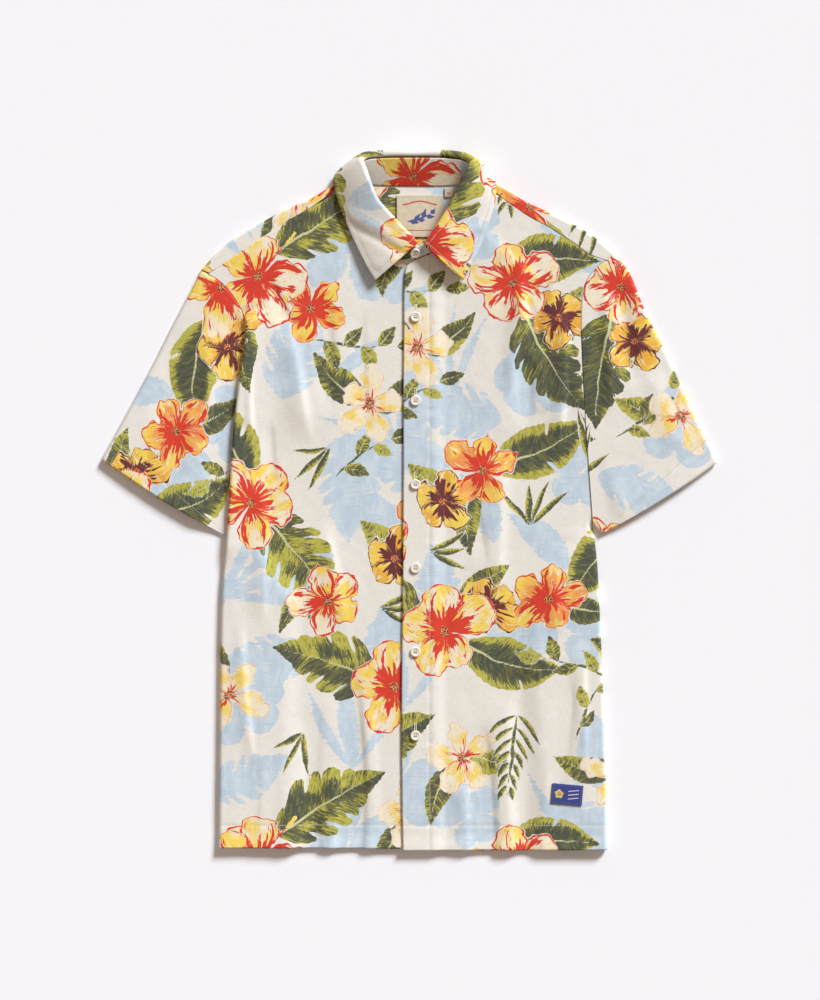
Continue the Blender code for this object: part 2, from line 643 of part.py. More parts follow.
def fall_section(seam, top, edge, radius):
    """One section of the fall: up past the stand, round the roll and out to its edge.

    The roll is an arc about a centre one radius to the outer side of the stand's top. It
    ends where a straight line from the edge just touches it.
    """
    rise = unit(top - seam)
    reach = edge - top
    outward_way = unit(reach - rise * reach.dot(rise))
    side = reach.dot(outward_way) - radius
    down = reach.dot(rise)
    touch = math.atan2(down, side) + math.acos(min(1.0, radius / math.hypot(side, down)))
    angles = np.linspace(math.pi, touch, ROLL_OVER_STEPS + 1)
    centre = top + outward_way * radius
    arc = (centre + radius * np.outer(np.cos(angles), outward_way)
           + radius * np.outer(np.sin(angles), rise))
    share = np.linspace(0.0, 1.0, FALL_STEPS + 1)[1:]
    bulge = unit(arc[-1] - centre) * FALL_SAG
    line = arc[-1] + np.outer(share, edge - arc[-1])
    line = line + np.outer(4.0 * share * (1.0 - share), bulge)
    return np.vstack([[top - rise * FALL_DROP], arc, line])


def build_collar(material):
    """The fall: a curved sheet from the top of the stand, over the roll, to its edge."""
    grid = [fall_section(row[0:3], row[3:6], row[6:9], row[9])
            for row in smooth_rows(COLLAR, COLLAR_STATIONS)]
    return thick_sheet("collar", grid, COLLAR_WALL, material)


def build_stand(material):
    """The stand: a band from the neck seam up to the fall, its left end over its right."""
    rows = smooth_rows(COLLAR, COLLAR_STATIONS)
    seam, top = rows[:, 0:3], rows[:, 3:6]
    top = top - unit(top - seam) * STAND_DROP
    first = np.array(STAND_END_RIGHT, float)
    last = np.array(STAND_END_LEFT, float)
    seam = np.vstack([first[:, 0:3], seam, last[:, 0:3]])
    top = np.vstack([first[:, 3:6], top, last[:, 3:6]])
    t = np.linspace(0.0, 1.0, STAND_STEPS + 1)[None, :, None]
    grid = (1 - t) * seam[:, None] + t * top[:, None]
    return thick_sheet("collar_stand", grid, WALL, material)


def laid_patch(name, centre, size, turn, wall, height, material, steps=(4, 3), cut=0.0):
    """A thin piece lying on a panel, from the panel's points moved out."""
    across = np.linspace(-0.5, 0.5, steps[0] + 1) * size[0]
    along = np.linspace(-0.5, 0.5, steps[1] + 1) * size[1]
    u, v = np.meshgrid(across, along)
    u = u * (1.0 - cut * smoothstep(-v / size[1] * 2.0))
    angle = math.radians(turn)
    x = centre[0] + u * math.cos(angle) - v * math.sin(angle)
    y = centre[1] + u * math.sin(angle) + v * math.cos(angle)
    z = height(x, y) + WALL / 2.0 + LIFT_GAP + wall / 2.0
    return thick_sheet(name, np.dstack([x, y, z]), wall, material)


def build_button(name, place, tilt, material):
    """A round button with four sewing holes through it."""
    bpy.ops.mesh.primitive_cylinder_add(vertices=16, radius=BUTTON_RADIUS * MM,
                                        depth=BUTTON_HEIGHT * MM)
    button = bpy.context.object
    button.name = name
    button.data.name = name
    button.data.materials.append(material)
    button.location = [value * MM for value in place]
    button.rotation_euler = (math.radians(tilt[0]), math.radians(tilt[1]), 0.0)
    for index in range(4):
        angle = math.radians(45.0 + 90.0 * index)
        hole_x = math.cos(angle) * BUTTON_HOLE_OFFSET * MM
        hole_y = math.sin(angle) * BUTTON_HOLE_OFFSET * MM
        bpy.ops.mesh.primitive_cylinder_add(vertices=6, radius=BUTTON_HOLE_RADIUS * MM,
                                            depth=BUTTON_HEIGHT * MM * 2.0,
                                            location=(hole_x, hole_y, 0.0))
        cutter = bpy.context.object
        cutter.name = f"{name}_hole_{index + 1}"
        cutter.parent = button
        cutter.hide_render = True
        cutter.display_type = "WIRE"
        cut = button.modifiers.new(f"hole_{index + 1}", "BOOLEAN")
        cut.object = cutter
        cut.operation = "DIFFERENCE"
        cut.solver = "EXACT"
    return button


def main():
    for item in list(bpy.data.objects):
        bpy.data.objects.remove(item, do_unlink=True)
    print_cloth = cloth_material("printed_rayon", (0.78, 0.75, 0.66))
    pearl = cloth_material("cream_button", (0.86, 0.82, 0.70), 0.35)
    label = cloth_material("cream_label", (0.80, 0.74, 0.60))
    blue = cloth_material("blue_patch", (0.10, 0.22, 0.42))

    build_back(print_cloth)
    build_yoke(print_cloth)
    build_front("front_right", FRONT_RIGHT, -1, SEAM_BOW["right"], print_cloth)
    build_front("front_left", FRONT_LEFT, 1, SEAM_BOW["left"], print_cloth)
    build_sleeve("sleeve_left", 1, SLEEVE_LEFT_OUTER, SLEEVE_LEFT_CUFF_END, print_cloth)
    build_sleeve("sleeve_right", -1, SLEEVE_RIGHT_OUTER, SLEEVE_RIGHT_CUFF_END, print_cloth)
    build_stand(print_cloth)
    build_collar(print_cloth)

    laid_patch("neck_label", LABEL_CENTRE, LABEL_SIZE, 0.0, TRIM_WALL, yoke_height, label,
               cut=0.45)
    for index, centre in enumerate(SIZE_TABS):
        laid_patch(f"size_tab_{index + 1}", centre, SIZE_TAB, 0.0, TRIM_WALL, yoke_height,
                   label, steps=(2, 2))
    on_front = lambda x, y: front_height(x, y, 1)
    laid_patch("hem_patch", PATCH_CENTRE, PATCH_SIZE, PATCH_TURN, TRIM_WALL, on_front, blue)

    for index in range(BUTTON_COUNT):
        y = FIRST_BUTTON_Y - index * BUTTON_SPACING
        surface = float(front_height(BUTTON_X, y, 1)) + WALL / 2.0
        place = (BUTTON_X, y, surface + LIFT_GAP + BUTTON_HEIGHT / 2.0)
        build_button(f"button_{index + 1}", place, (0.0, 0.0), pearl)
    build_button("button_collar", COLLAR_BUTTON, COLLAR_BUTTON_TILT, pearl)


main()
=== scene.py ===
import math

import bpy
import numpy as np
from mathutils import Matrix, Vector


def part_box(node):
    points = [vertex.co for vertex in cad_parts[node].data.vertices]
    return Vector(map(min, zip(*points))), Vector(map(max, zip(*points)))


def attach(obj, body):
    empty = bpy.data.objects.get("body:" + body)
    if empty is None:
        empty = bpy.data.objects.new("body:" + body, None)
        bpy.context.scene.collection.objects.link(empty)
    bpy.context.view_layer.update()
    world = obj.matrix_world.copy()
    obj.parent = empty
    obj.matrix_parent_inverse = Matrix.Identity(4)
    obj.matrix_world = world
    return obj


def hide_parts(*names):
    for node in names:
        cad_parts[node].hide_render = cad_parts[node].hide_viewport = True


# A short-sleeved print shirt laid flat, face up, its sides tucked under.
# Lengths are in millimetres until a mesh is written, in the frame's own axes.

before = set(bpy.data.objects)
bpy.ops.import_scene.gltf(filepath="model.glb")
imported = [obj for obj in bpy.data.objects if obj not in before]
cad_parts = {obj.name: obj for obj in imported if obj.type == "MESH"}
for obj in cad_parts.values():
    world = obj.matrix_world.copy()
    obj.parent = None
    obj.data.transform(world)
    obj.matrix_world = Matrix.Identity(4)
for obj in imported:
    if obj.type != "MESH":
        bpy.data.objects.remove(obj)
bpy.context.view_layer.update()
mm = 0.001
fine = 1.7  # spacing of the cloth grids that show


def smoothStep(value):  # 3t^2 - 2t^3: level at 0 and at 1
    t = np.clip(value, 0.0, 1.0)
    return t * t * (3.0 - 2.0 * t)


def softNoise(x, y, size, seed):  # random heights on a square lattice, blended smoothly
    cells = 251
    lattice = np.random.default_rng(seed).uniform(-1.0, 1.0, (cells, cells))
    gx, gy = np.asarray(x) / size, np.asarray(y) / size
    ix, iy = np.floor(gx).astype(int), np.floor(gy).astype(int)
    fx, fy = smoothStep(gx - ix), smoothStep(gy - iy)
    left, right = ix % cells, (ix + 1) % cells
    low, high = (lattice[left, row % cells] * (1 - fx) + lattice[right, row % cells] * fx
                 for row in (iy, iy + 1))
    return low * (1 - fy) + high * fy


def unit(vectors):  # the same directions, one long
    return vectors / np.maximum(np.linalg.norm(vectors, axis=-1, keepdims=True), 1e-9)


def cosSin(degrees):
    return math.cos(math.radians(degrees)), math.sin(math.radians(degrees))


def blurred(values, sigma):  # a bell-weighted running mean that keeps straight runs and ends
    reach = max(1, int(3 * sigma))
    reach = min(reach, len(values) - 1)
    weights = np.exp(-0.5 * (np.arange(-reach, reach + 1) / sigma) ** 2)
    weights /= weights.sum()
    padded = np.pad(values, [(reach, reach), (0, 0)], mode="reflect", reflect_type="odd")
    return np.stack([np.convolve(column, weights, "valid") for column in padded.T], 1)


def runLength(points):  # the length of a run up to each of its points
    return np.concatenate([[0.0], np.linalg.norm(np.diff(points, axis=0), axis=1).cumsum()])


def fineRows(rows, places, step, blur):  # a table read every step along places, then blurred
    table, run = np.array(rows, float), runLength(places)
    count = 2 * round(run[-1] / step / 2) + 1
    at = np.linspace(0.0, run[-1], count)
    read = np.stack([np.interp(at, run, column) for column in table.T], 1)
    return blurred(read, blur / step) if blur else read


# innerX innerY outerX outerY margin level turned bow, hem to shoulder. turned is 1 where
# the side folds flat under, and bow is how far a row arches with the yoke seam.
leftFront = {
    "side": 1, "underarm": 10,
    "rows": [
        (-7.0, -385, 217.0, -384, 62, 0.6, 1, 0), (-8.0, -330, 215.8, -330, 62, 0.6, 1, 0),
        (-8.5, -270, 214.0, -268, 62, 0.6, 1, 0), (-8.5, -210, 212.0, -206, 62, 0.6, 1, 0),
        (-8.0, -155, 210.0, -154, 62, 0.6, 1, 0), (-7.5, -110, 208.0, -110, 60, 0.6, 1, 0),
        (-7.0, -80, 206.6, -80, 47, 0.6, 1, 0), (-7.0, -60, 205.0, -60, 23, 0.6, 1, 0),
        (-7.0, -48, 203.6, -48, 4, 0.6, 1, 0), (-7.0, -39, 202.0, -39, 1, 0.6, 0.5, 0),
        (-7.0, -27, 201.5, -27, 0, 0.6, 0, 0), (-6.5, 25, 197.5, 25, 0, 0.6, 0, 0),
        (-6.5, 80, 193.5, 80, 0, 0.6, 0, 0), (-6.5, 135, 190.0, 135, 0, 0.6, 0, 0),
        (-6.0, 185, 188.0, 185, 0, 0.6, 0, 0), (-6.0, 225, 188.0, 218, 0, 0.6, 0, 0.7),
        (-5.0, 262, 190.5, 233, 0, 0.6, 0, 1.4), (20, 267, 195.0, 243, 0, 0.6, 0, 2.1),
        (44, 283, 201.0, 251, 0, 0.6, 0, 2.9), (61, 303, 207.0, 257, 0, 0.6, 0, 3.6),
        (71, 323, 211.5, 261, 0, 0.6, 0, 4.3), (77, 343, 216.0, 264, 0, 0.6, 0, 5)],
}
rightFront = {
    "side": -1, "underarm": 9,
    "rows": [
        (22, -383, -209.0, -382, 62, 0.6, 1, 0), (22, -330, -208.6, -330, 62, 0.6, 1, 0),
        (22, -270, -208.0, -268, 62, 0.6, 1, 0), (22, -210, -207.4, -206, 62, 0.6, 1, 0),
        (22, -155, -206.8, -154, 61, 0.6, 1, 0), (22, -110, -206.0, -110, 59, 0.6, 1, 0),
        (22, -85, -204.4, -85, 44, 0.6, 1, 0), (22, -66, -202.6, -66, 23, 0.8, 1, 0),
        (22, -47, -200.7, -47, 13, 4.4, 1, 0), (22, -29, -199.0, -29, 10, 4.8, 1, 0),
        (22, 25, -196.2, 25, 10, 4.8, 1, 0), (22, 80, -192.5, 80, 10, 4.8, 1, 0),
        (22, 135, -186.0, 135, 10, 4.8, 1, 0), (22, 178, -180.0, 174, 9, 4.8, 1, 0),
        (22, 206, -178.6, 191, 3, 4.8, 1, 0.4), (22, 232, -180.4, 200, 0, 4.8, 0.5, 0.9),
        (16, 262, -185.5, 212, 0, 4.8, 0, 1.3), (-5, 267, -192.5, 223.5, 0, 4.8, 0, 1.7),
        (-30, 281, -199.0, 232, 0, 4.8, 0, 2.1), (-54, 302, -206.0, 239, 0, 4.8, 0, 2.5),
        (-68, 322, -213.5, 244.5, 0, 4.8, 0, 2.8), (-77, 338, -221.0, 248, 0, 4.8, 0, 3)],
}
# innerX innerY outerX outerY margin turned, right shoulder to left: out from the back
# seam to the shoulder or neck edge, then over the shoulder to the front seam.
yokeCut = {
    "seam": 238.0,
    "rows": [
        (-192, 238, -228.5, 252.5, 7, 1), (-180, 238, -214, 268.5, 12, 1),
        (-165, 238, -196, 285, 14, 1), (-145, 238, -164, 304, 14, 1),
        (-122, 238, -135, 319, 10, 1), (-98, 238, -107, 331, 6.5, 1),
        (-78, 238, -84, 345.5, 4, 1), (-72, 238, -77.5, 350, 1, 0.5),
        (-64, 238, -70, 352, 0, 0), (-50, 238, -56, 346, 0, 0), (-22, 238, -25, 344.2, 0, 0),
        (5, 238, 5, 343.8, 0, 0), (32, 238, 35, 344, 0, 0), (58, 238, 64, 346.5, 0, 0),
        (70, 238, 76.5, 354.5, 0, 0), (77, 238, 84, 353, 1, 0.5), (84, 238, 92, 348.5, 6, 1),
        (100, 238, 108, 339, 9, 1), (120, 238, 129, 326.5, 11, 1), (144, 238, 160, 312.5, 13, 1),
        (166, 238, 188, 298.5, 16, 1), (180, 238, 208, 285, 17, 1),
        (192, 238, 224.5, 270.2, 8, 1)],
}
body = {
    "backLevel": 0.6, "marginLevel": 2.6, "backRaise": 4.0,
    "layerStep": 2.0, "centreAir": 1.0, "placketStep": 2.2, "shoulder": 5.0, "foldLevel": 6.8,
    "placketFlat": 26.0, "placketSlope": 16.0, "sideMargin": 62.0, "raiseRun": 26.0,
    "raiseClear": 4.0, "foldTop": 212.0, "hemLine": -357.0, "hemThick": 0.22, "hemFlare": 1.2,
    "placketLine": 22.5, "steepSide": 0.42, "foldGain": 1.9, "rollRise": 2.6, "rollWidth": 13.0,
    "foldReach": 46.0, "foldRun": 34.0, "foldLow": -78.0, "chestY": 40.0, "chestX": 40.0,
    "neckY": 262.0, "wave": 4.0, "sideRows": 16,
}
# Soft folds in the fronts: where each starts and ends (x0 y0 x1 y1), its half width and its
# height, a ridge above 0 and a trough below.
foldLines = [
    (150, 258, 128, 70, 13, -2.2), (128, 262, 104, 110, 12, 1.9), (172, 232, 160, 40, 11, 1.6),
    (108, 60, 88, -120, 20, 1.3), (106, -200, 112, -390, 20, 1.5), (84, -240, 88, -390, 13, -1.1),
    (196, -150, 188, -300, 10, 1.0), (174, -190, 166, -330, 13, -1.0), (150, -60, 172, -150, 14, 0.7),
    (40, 120, 46, -60, 16, 0.5), (-61, -170, -57, -390, 15, -2.4), (-42, -210, -38, -390, 15, 1.3),
    (-101, -220, -103, -390, 14, -1.6), (-122, -240, -126, -390, 15, 1.0), (-140, 200, -106, 60, 16, 1.6),
    (-96, 232, -82, 90, 12, -1.3), (-166, 30, -158, -140, 12, 1.3), (-92, -20, -76, -150, 16, 1.1),
    (-158, 246, -128, 190, 9, -1.0), (-182, -120, -174, -300, 9, 0.9), (-36, 60, -30, -120, 13, 0.5),
    (176, 120, 140, 92, 12, 0.6), (-60, 300, -120, 226, 12, 0.7), (76, 300, 150, 236, 13, 0.6),
    (134, 226, 150, 150, 8, -2.0), (126, 236, 141, 140, 8, 1.6), (178, 190, 186, 90, 7, 1.3),
    (-176, 160, -168, 60, 7, 1.1), (-150, 90, -144, 10, 8, -0.8), (54, -300, 60, -390, 14, 0.9),
    (-82, -290, -80, -390, 12, 0.9), (144, -270, 140, -390, 14, -1.2), (-172, -280, -176, -390, 12, -0.9),
    (30, 60, 36, -120, 9, -0.6), (-50, 220, -44, 60, 10, -0.7), (60, 40, 84, -80, 10, -0.6),
]


def frontOf(side):
    return leftFront if side > 0 else rightFront


def sideEdge(y, side):  # the half width of the laid body at y
    rows = frontOf(side)["rows"][:body["sideRows"]]
    return np.interp(y, [row[3] for row in rows], [abs(row[2]) for row in rows])


def backHeight(x, y):  # flat in the middle, rising over the tucked margins
    edge = np.where(np.asarray(x) > 0, sideEdge(y, 1), sideEdge(y, -1))
    tuck = np.interp(y, [-110.0, -85.0, -62.0, -45.0], [body["sideMargin"], 48.0, 28.0, 12.0])
    amount = np.interp(y, [-90.0, -62.0, -45.0, -30.0], [1.0, 0.8, 0.45, 0.0])
    start = edge - tuck - body["raiseClear"] - body["raiseRun"]
    rise = smoothStep((np.abs(x) - start) / body["raiseRun"])
    return body["backLevel"] + body["backRaise"] * amount * rise


def byLine(x, y, x0, y0, x1, y1):  # places along and across a line, and the line's length
    length = math.hypot(x1 - x0, y1 - y0)
    along = ((x - x0) * (x1 - x0) + (y - y0) * (y1 - y0)) / length
    across = (-(x - x0) * (y1 - y0) + (y - y0) * (x1 - x0)) / length
    return along, across, length


def foldRelief(x, y):  # a bell across each fold line, fading at both ends unless at the hem
    total = np.zeros(np.shape(x))
    for x0, y0, x1, y1, width, height in foldLines:
        along, across, length = byLine(x, y, x0, y0, x1, y1)
        across = across + body["wave"] * np.sin(along / 47.0 + x0)
        fade = min(60.0, length * 0.3)
        end = 1.0 if y1 < -380 else smoothStep((length - along) / fade)
        spread = np.where(across > 0, width * body["steepSide"], width)
        bell = np.exp(-((across / spread) ** 2))
        total += body["foldGain"] * height * smoothStep(along / fade) * end * bell
    return total


def wrinkles(x, y):  # small uneven rises left in pressed cloth
    return (0.32 * softNoise(x, y, 46, 11) + 0.22 * softNoise(x * 1.4, y * 0.7, 21, 12)
            + 0.08 * softNoise(x, y, 8, 13))


def frontHeight(x, y, side):  # above the back, the other front and the tucked layers
    x, y = np.asarray(x, float), np.asarray(y, float)
    under = backHeight(x, y)
    raised = (under - body["backLevel"]) / body["backRaise"]
    height = under + body["layerStep"] + body["centreAir"] * (1.0 - raised)
    chest = smoothStep((y - body["chestY"]) / 90.0)
    chest = chest * smoothStep((x * side - body["chestX"]) / 50.0)
    height = height + (body["shoulder"] - height) * chest
    if side > 0:
        step = smoothStep((body["placketFlat"] + body["placketSlope"] - x) / body["placketSlope"])
        height = height + step * body["placketStep"]
    else:
        folded = smoothStep((np.abs(x) - sideEdge(y, -1) + body["foldReach"]) / body["foldRun"])
        folded = folded * smoothStep((y - body["foldLow"]) / 30.0)
        folded = folded * smoothStep((body["foldTop"] - y) / 16.0)
        height = height + (body["foldLevel"] - height) * folded
        inside = (sideEdge(y, -1) - np.abs(x)) / body["rollWidth"]
        height = height + body["rollRise"] * folded * np.exp(-(inside**2))
    clear = smoothStep((x * side - 26.0) / 30.0)
    edge = smoothStep((sideEdge(np.clip(y, -385, 190), side) - np.abs(x) + 4.0) / 24.0)
    # Troughs level out as they near the layer beneath.
    folds = foldRelief(x, y) * clear * edge + wrinkles(x, y) * (0.35 + 0.65 * clear)
    room = np.maximum(height - under - body["layerStep"] * 0.7, 0.3)
    height = height + np.where(folds < 0, room * (np.exp(np.minimum(folds, 0) / room) - 1), folds)
    height = height + body["hemFlare"] * smoothStep((-366.0 - y) / 18.0)
    height = height + body["hemThick"] * smoothStep((body["hemLine"] - y) / 2.5)
    height = height + 0.6 * seamRelief(y - body["hemLine"], x, 5)
    if side > 0:
        height = height + seamRelief(x - body["placketLine"], y, 6) * (y < body["neckY"])
    return height


seam = {"pucker": 0.34, "puckerSize": 7.0, "reach": 7.0, "depth": 0.42, "width": 1.5}


def seamRelief(distance, along, seed):  # a bell-shaped groove at the stitches, and puckers
    pucker = seam["pucker"] * softNoise(along, seed * 31.0, seam["puckerSize"], seed)
    pucker = pucker * np.exp(-((distance / seam["reach"]) ** 2))
    return pucker - seam["depth"] * np.exp(-((distance / seam["width"]) ** 2))


def withSeam(cloth, distance=99.0, along=0.0):
    # Cloth places with the way to the nearest seam line, which is far off if none is given.
    distance = np.broadcast_to(distance, cloth.shape[:2])
    return np.dstack([cloth, distance, np.broadcast_to(along, cloth.shape[:2])])


def surfaceNormals(grid, around):  # the cross product of the two ways along the grid
    along = (np.roll(grid, -1, axis=1) - np.roll(grid, 1, axis=1) if around
             else np.gradient(grid, axis=1))
    return unit(np.cross(along, np.gradient(grid, axis=0)))


def addMesh(name, points, faces, material):  # points in millimetres, the mesh in metres
    mesh = bpy.data.meshes.new(name)
    mesh.from_pydata((points * mm).tolist(), [], faces)
    mesh.materials.append(material)
    mesh.shade_smooth()
    made = bpy.data.objects.new(name, mesh)
    bpy.context.collection.objects.link(made)
    return made


def clothShell(name, grid, cloth, material, face=1, around=False, wall=0.8, lift=0.6):
    # A closed shell: the shown side has every grid point, moved out by lift, and the
    # other side every second one, a wall further in. A rim of five-sided faces joins them.
    rows, cols = grid.shape[:2]
    normal = surfaceNormals(grid, around) * face
    shown, hidden = grid + normal * lift, (grid + normal * (lift - wall))[::2, ::2]
    spots = np.arange(rows * cols).reshape(rows, cols)
    backs = np.arange(hidden.shape[0] * hidden.shape[1]).reshape(hidden.shape[:2]) + spots.size
    if around:
        spots = np.hstack([spots, spots[:, :1]])
        backs = np.hstack([backs, backs[:, :1]])
    quads = np.stack([spots[:-1, :-1], spots[:-1, 1:], spots[1:, 1:], spots[1:, :-1]], -1)
    inner = np.stack([backs[:-1, :-1], backs[1:, :-1], backs[1:, 1:], backs[:-1, 1:]], -1)
    edges = [(spots[0], backs[0]), (spots[-1, ::-1], backs[-1, ::-1])]
    if not around:
        edges += [(spots[:, -1], backs[:, -1]), (spots[::-1, 0], backs[::-1, 0])]
    rim = [np.stack([o[2::2], o[1::2], o[:-1:2], i[:-1], i[1:]], -1) for o, i in edges]
    rim = np.concatenate(rim)
    quads, inner = quads.reshape(-1, 4), inner.reshape(-1, 4)
    if face < 0:
        quads, inner, rim = quads[:, ::-1], inner[:, ::-1], rim[:, ::-1]
    points = np.vstack([shown.reshape(-1, 3), hidden.reshape(-1, 3)])
    faces = quads.tolist() + inner.tolist() + rim.tolist()
    made = addMesh(name, points, faces, material)
    bakeMap(made, face, len(rim), spots.shape, backs.shape)
    deep = cloth.shape[-1]
    places = np.vstack([cloth.reshape(-1, deep), cloth[::2, ::2].reshape(-1, deep)])
    return made, places


def bakeMap(made, face, rimCount, shownShape, hiddenShape):
    # The shown side fills the left of the map, the other side a strip at the right, and
    # the rim a narrow band at the very right.
    def corners(shape, left, right, order):  # the four corners of every cell of a grid
        v, u = np.meshgrid(np.linspace(0.01, 0.99, shape[0]), np.linspace(left, right, shape[1]),
                           indexing="ij")
        spot = np.stack([u, v], -1)
        parts = [spot[:-1, :-1], spot[:-1, 1:], spot[1:, 1:], spot[1:, :-1]]
        return np.stack([parts[k] for k in order], 2).reshape(-1, 4, 2)

    low = 0.01 + 0.98 * np.arange(rimCount) / rimCount
    high = low + 0.9 * 0.98 / rimCount
    left, right = np.full(rimCount, 0.97), np.full(rimCount, 0.985)
    band = np.stack([np.stack(p, -1) for p in [(left, high), (left, (low + high) / 2),
                                               (left, low), (right, low), (right, high)]], 1)
    groups = [corners(shownShape, 0.01, 0.72, (0, 1, 2, 3)),
              corners(hiddenShape, 0.74, 0.95, (0, 3, 2, 1)), band]
    uv = np.concatenate([group[:, ::face].reshape(-1, 2) for group in groups])
    layer = made.data.uv_layers.new(name="OFBake")
    layer.uv.foreach_set("vector", uv.astype(np.float32).ravel())


def panelGrid(rows, heightAt, mainSteps, rollSteps, marginSteps):
    # Each row runs straight from its inner to its outer point, rolls by turned half
    # turns round half the drop to its level, and goes on straight for its margin.
    leastStep = 0.35
    inner, outer = rows[:, 0:2], rows[:, 2:4]
    margin, level, turned, bow = (rows[:, k:k + 1] for k in range(4, 8))
    length = np.linalg.norm(outer - inner, axis=1, keepdims=True)
    ahead = (outer - inner) / length
    sideways = np.stack([-ahead[:, 1], ahead[:, 0]], 1) * np.sign(ahead[:, :1])
    edge = heightAt(outer[:, 0], outer[:, 1])[:, None]
    radius, way = np.abs(edge - level) / 2, np.sign(level - edge)
    arc = np.maximum(np.pi * radius * turned, leastStep * rollSteps) / rollSteps
    rest = np.maximum(margin, leastStep * marginSteps) / marginSteps
    steps = np.hstack([np.repeat(arc, rollSteps, 1), np.repeat(rest, marginSteps, 1)])
    share = np.minimum((np.arange(rollSteps + marginSteps) + 0.5) / rollSteps, 1.0)
    angle = np.pi * turned * np.where(np.arange(rollSteps + marginSteps) < rollSteps, share, 1.0)
    tailX = np.cumsum(np.cos(angle) * steps, 1)
    tailZ = way * np.minimum(np.cumsum(np.sin(angle) * steps, 1), np.abs(edge - level))
    stop = length - tailX.max(axis=1, keepdims=True)
    t = np.linspace(0.0, 1.0, mainSteps + 1)
    arch = (4.0 * bow * t * (1.0 - t))[..., None]
    main = inner[:, None] + (stop * t)[..., None] * ahead[:, None] + arch * sideways[:, None]
    mainZ = heightAt(main[..., 0], main[..., 1])
    tail = inner[:, None] + (stop + tailX)[..., None] * ahead[:, None]
    unrolled = inner[:, None] + (stop + np.cumsum(steps, 1))[..., None] * ahead[:, None]
    z = np.hstack([mainZ, mainZ[:, -1:] + tailZ])
    grid = np.dstack([np.hstack([main, tail]), z])
    return grid, np.hstack([main, unrolled])


def rgb(red, green, blue):  # a colour by its 0 to 255 values, made linear
    return tuple(((c / 255 + 0.055) / 1.055) ** 2.4 if c > 10 else c / 255 / 12.92
                 for c in (red, green, blue))


inks = {
    "ground": rgb(237, 232, 221), "blue": rgb(195, 212, 224), "dark": rgb(68, 74, 60),
    "olive": rgb(103, 105, 61), "lime": rgb(162, 157, 57), "rib": rgb(208, 208, 156),
    "yolk": rgb(192, 186, 78),
    "maroon": rgb(104, 32, 40), "red": rgb(220, 50, 26), "orange": rgb(243, 152, 78),
    "gold": rgb(240, 176, 52), "yellow": rgb(248, 214, 88), "pale": rgb(246, 234, 206),
}
# Inks of the petals, the throat and the edge; how far the throat reaches (0 to 1); the edge
# stroke and the eye's radius in mm; how wide the petals are, and how pointed their tips.
bloomStyles = {
    "red": ("yellow", "red", "red", 0.40, 1.7, 5.0, 1.0, 0.5),
    "wild": ("orange", "red", "red", 0.46, 1.2, 5.0, 0.9, 0.6),
    "cream": ("pale", "red", "orange", 0.16, 0.5, 6.0, 0.72, 0.9),
    "gold": ("gold", "maroon", "maroon", 0.46, 1.3, 4.0, 1.04, 0.45),
    "shadow": ("blue", "blue", "blue", 0, 0, 0, 1.0, 0.5),
}
# Where along it the leaf is widest, its tooth depth, its cuts a side, the lean of its veins,
# its tone at the midrib and at the edge (0 dark to 1 lime), and how much the tone varies.
leafStyles = {
    "oval": (0.40, 0.45, 0, 0.6, 0.22, 0.46, 0.6),
    "lime": (0.40, 0.6, 0, 0.6, 0.55, 0.95, 0.4),
    "curl": (0.45, 0.5, 1, 0.5, 0.02, 0.92, 0.35),
    "split": (0.40, 0.5, 5, 0.75, 0.26, 0.52, 0.7),
    "blade": (0.45, 0.1, 0, 0.3, 0.30, 0.55, 0.3),
    "stem": (0.30, 0.0, 0, 0.3, 0.15, 0.25, 0.2),
}


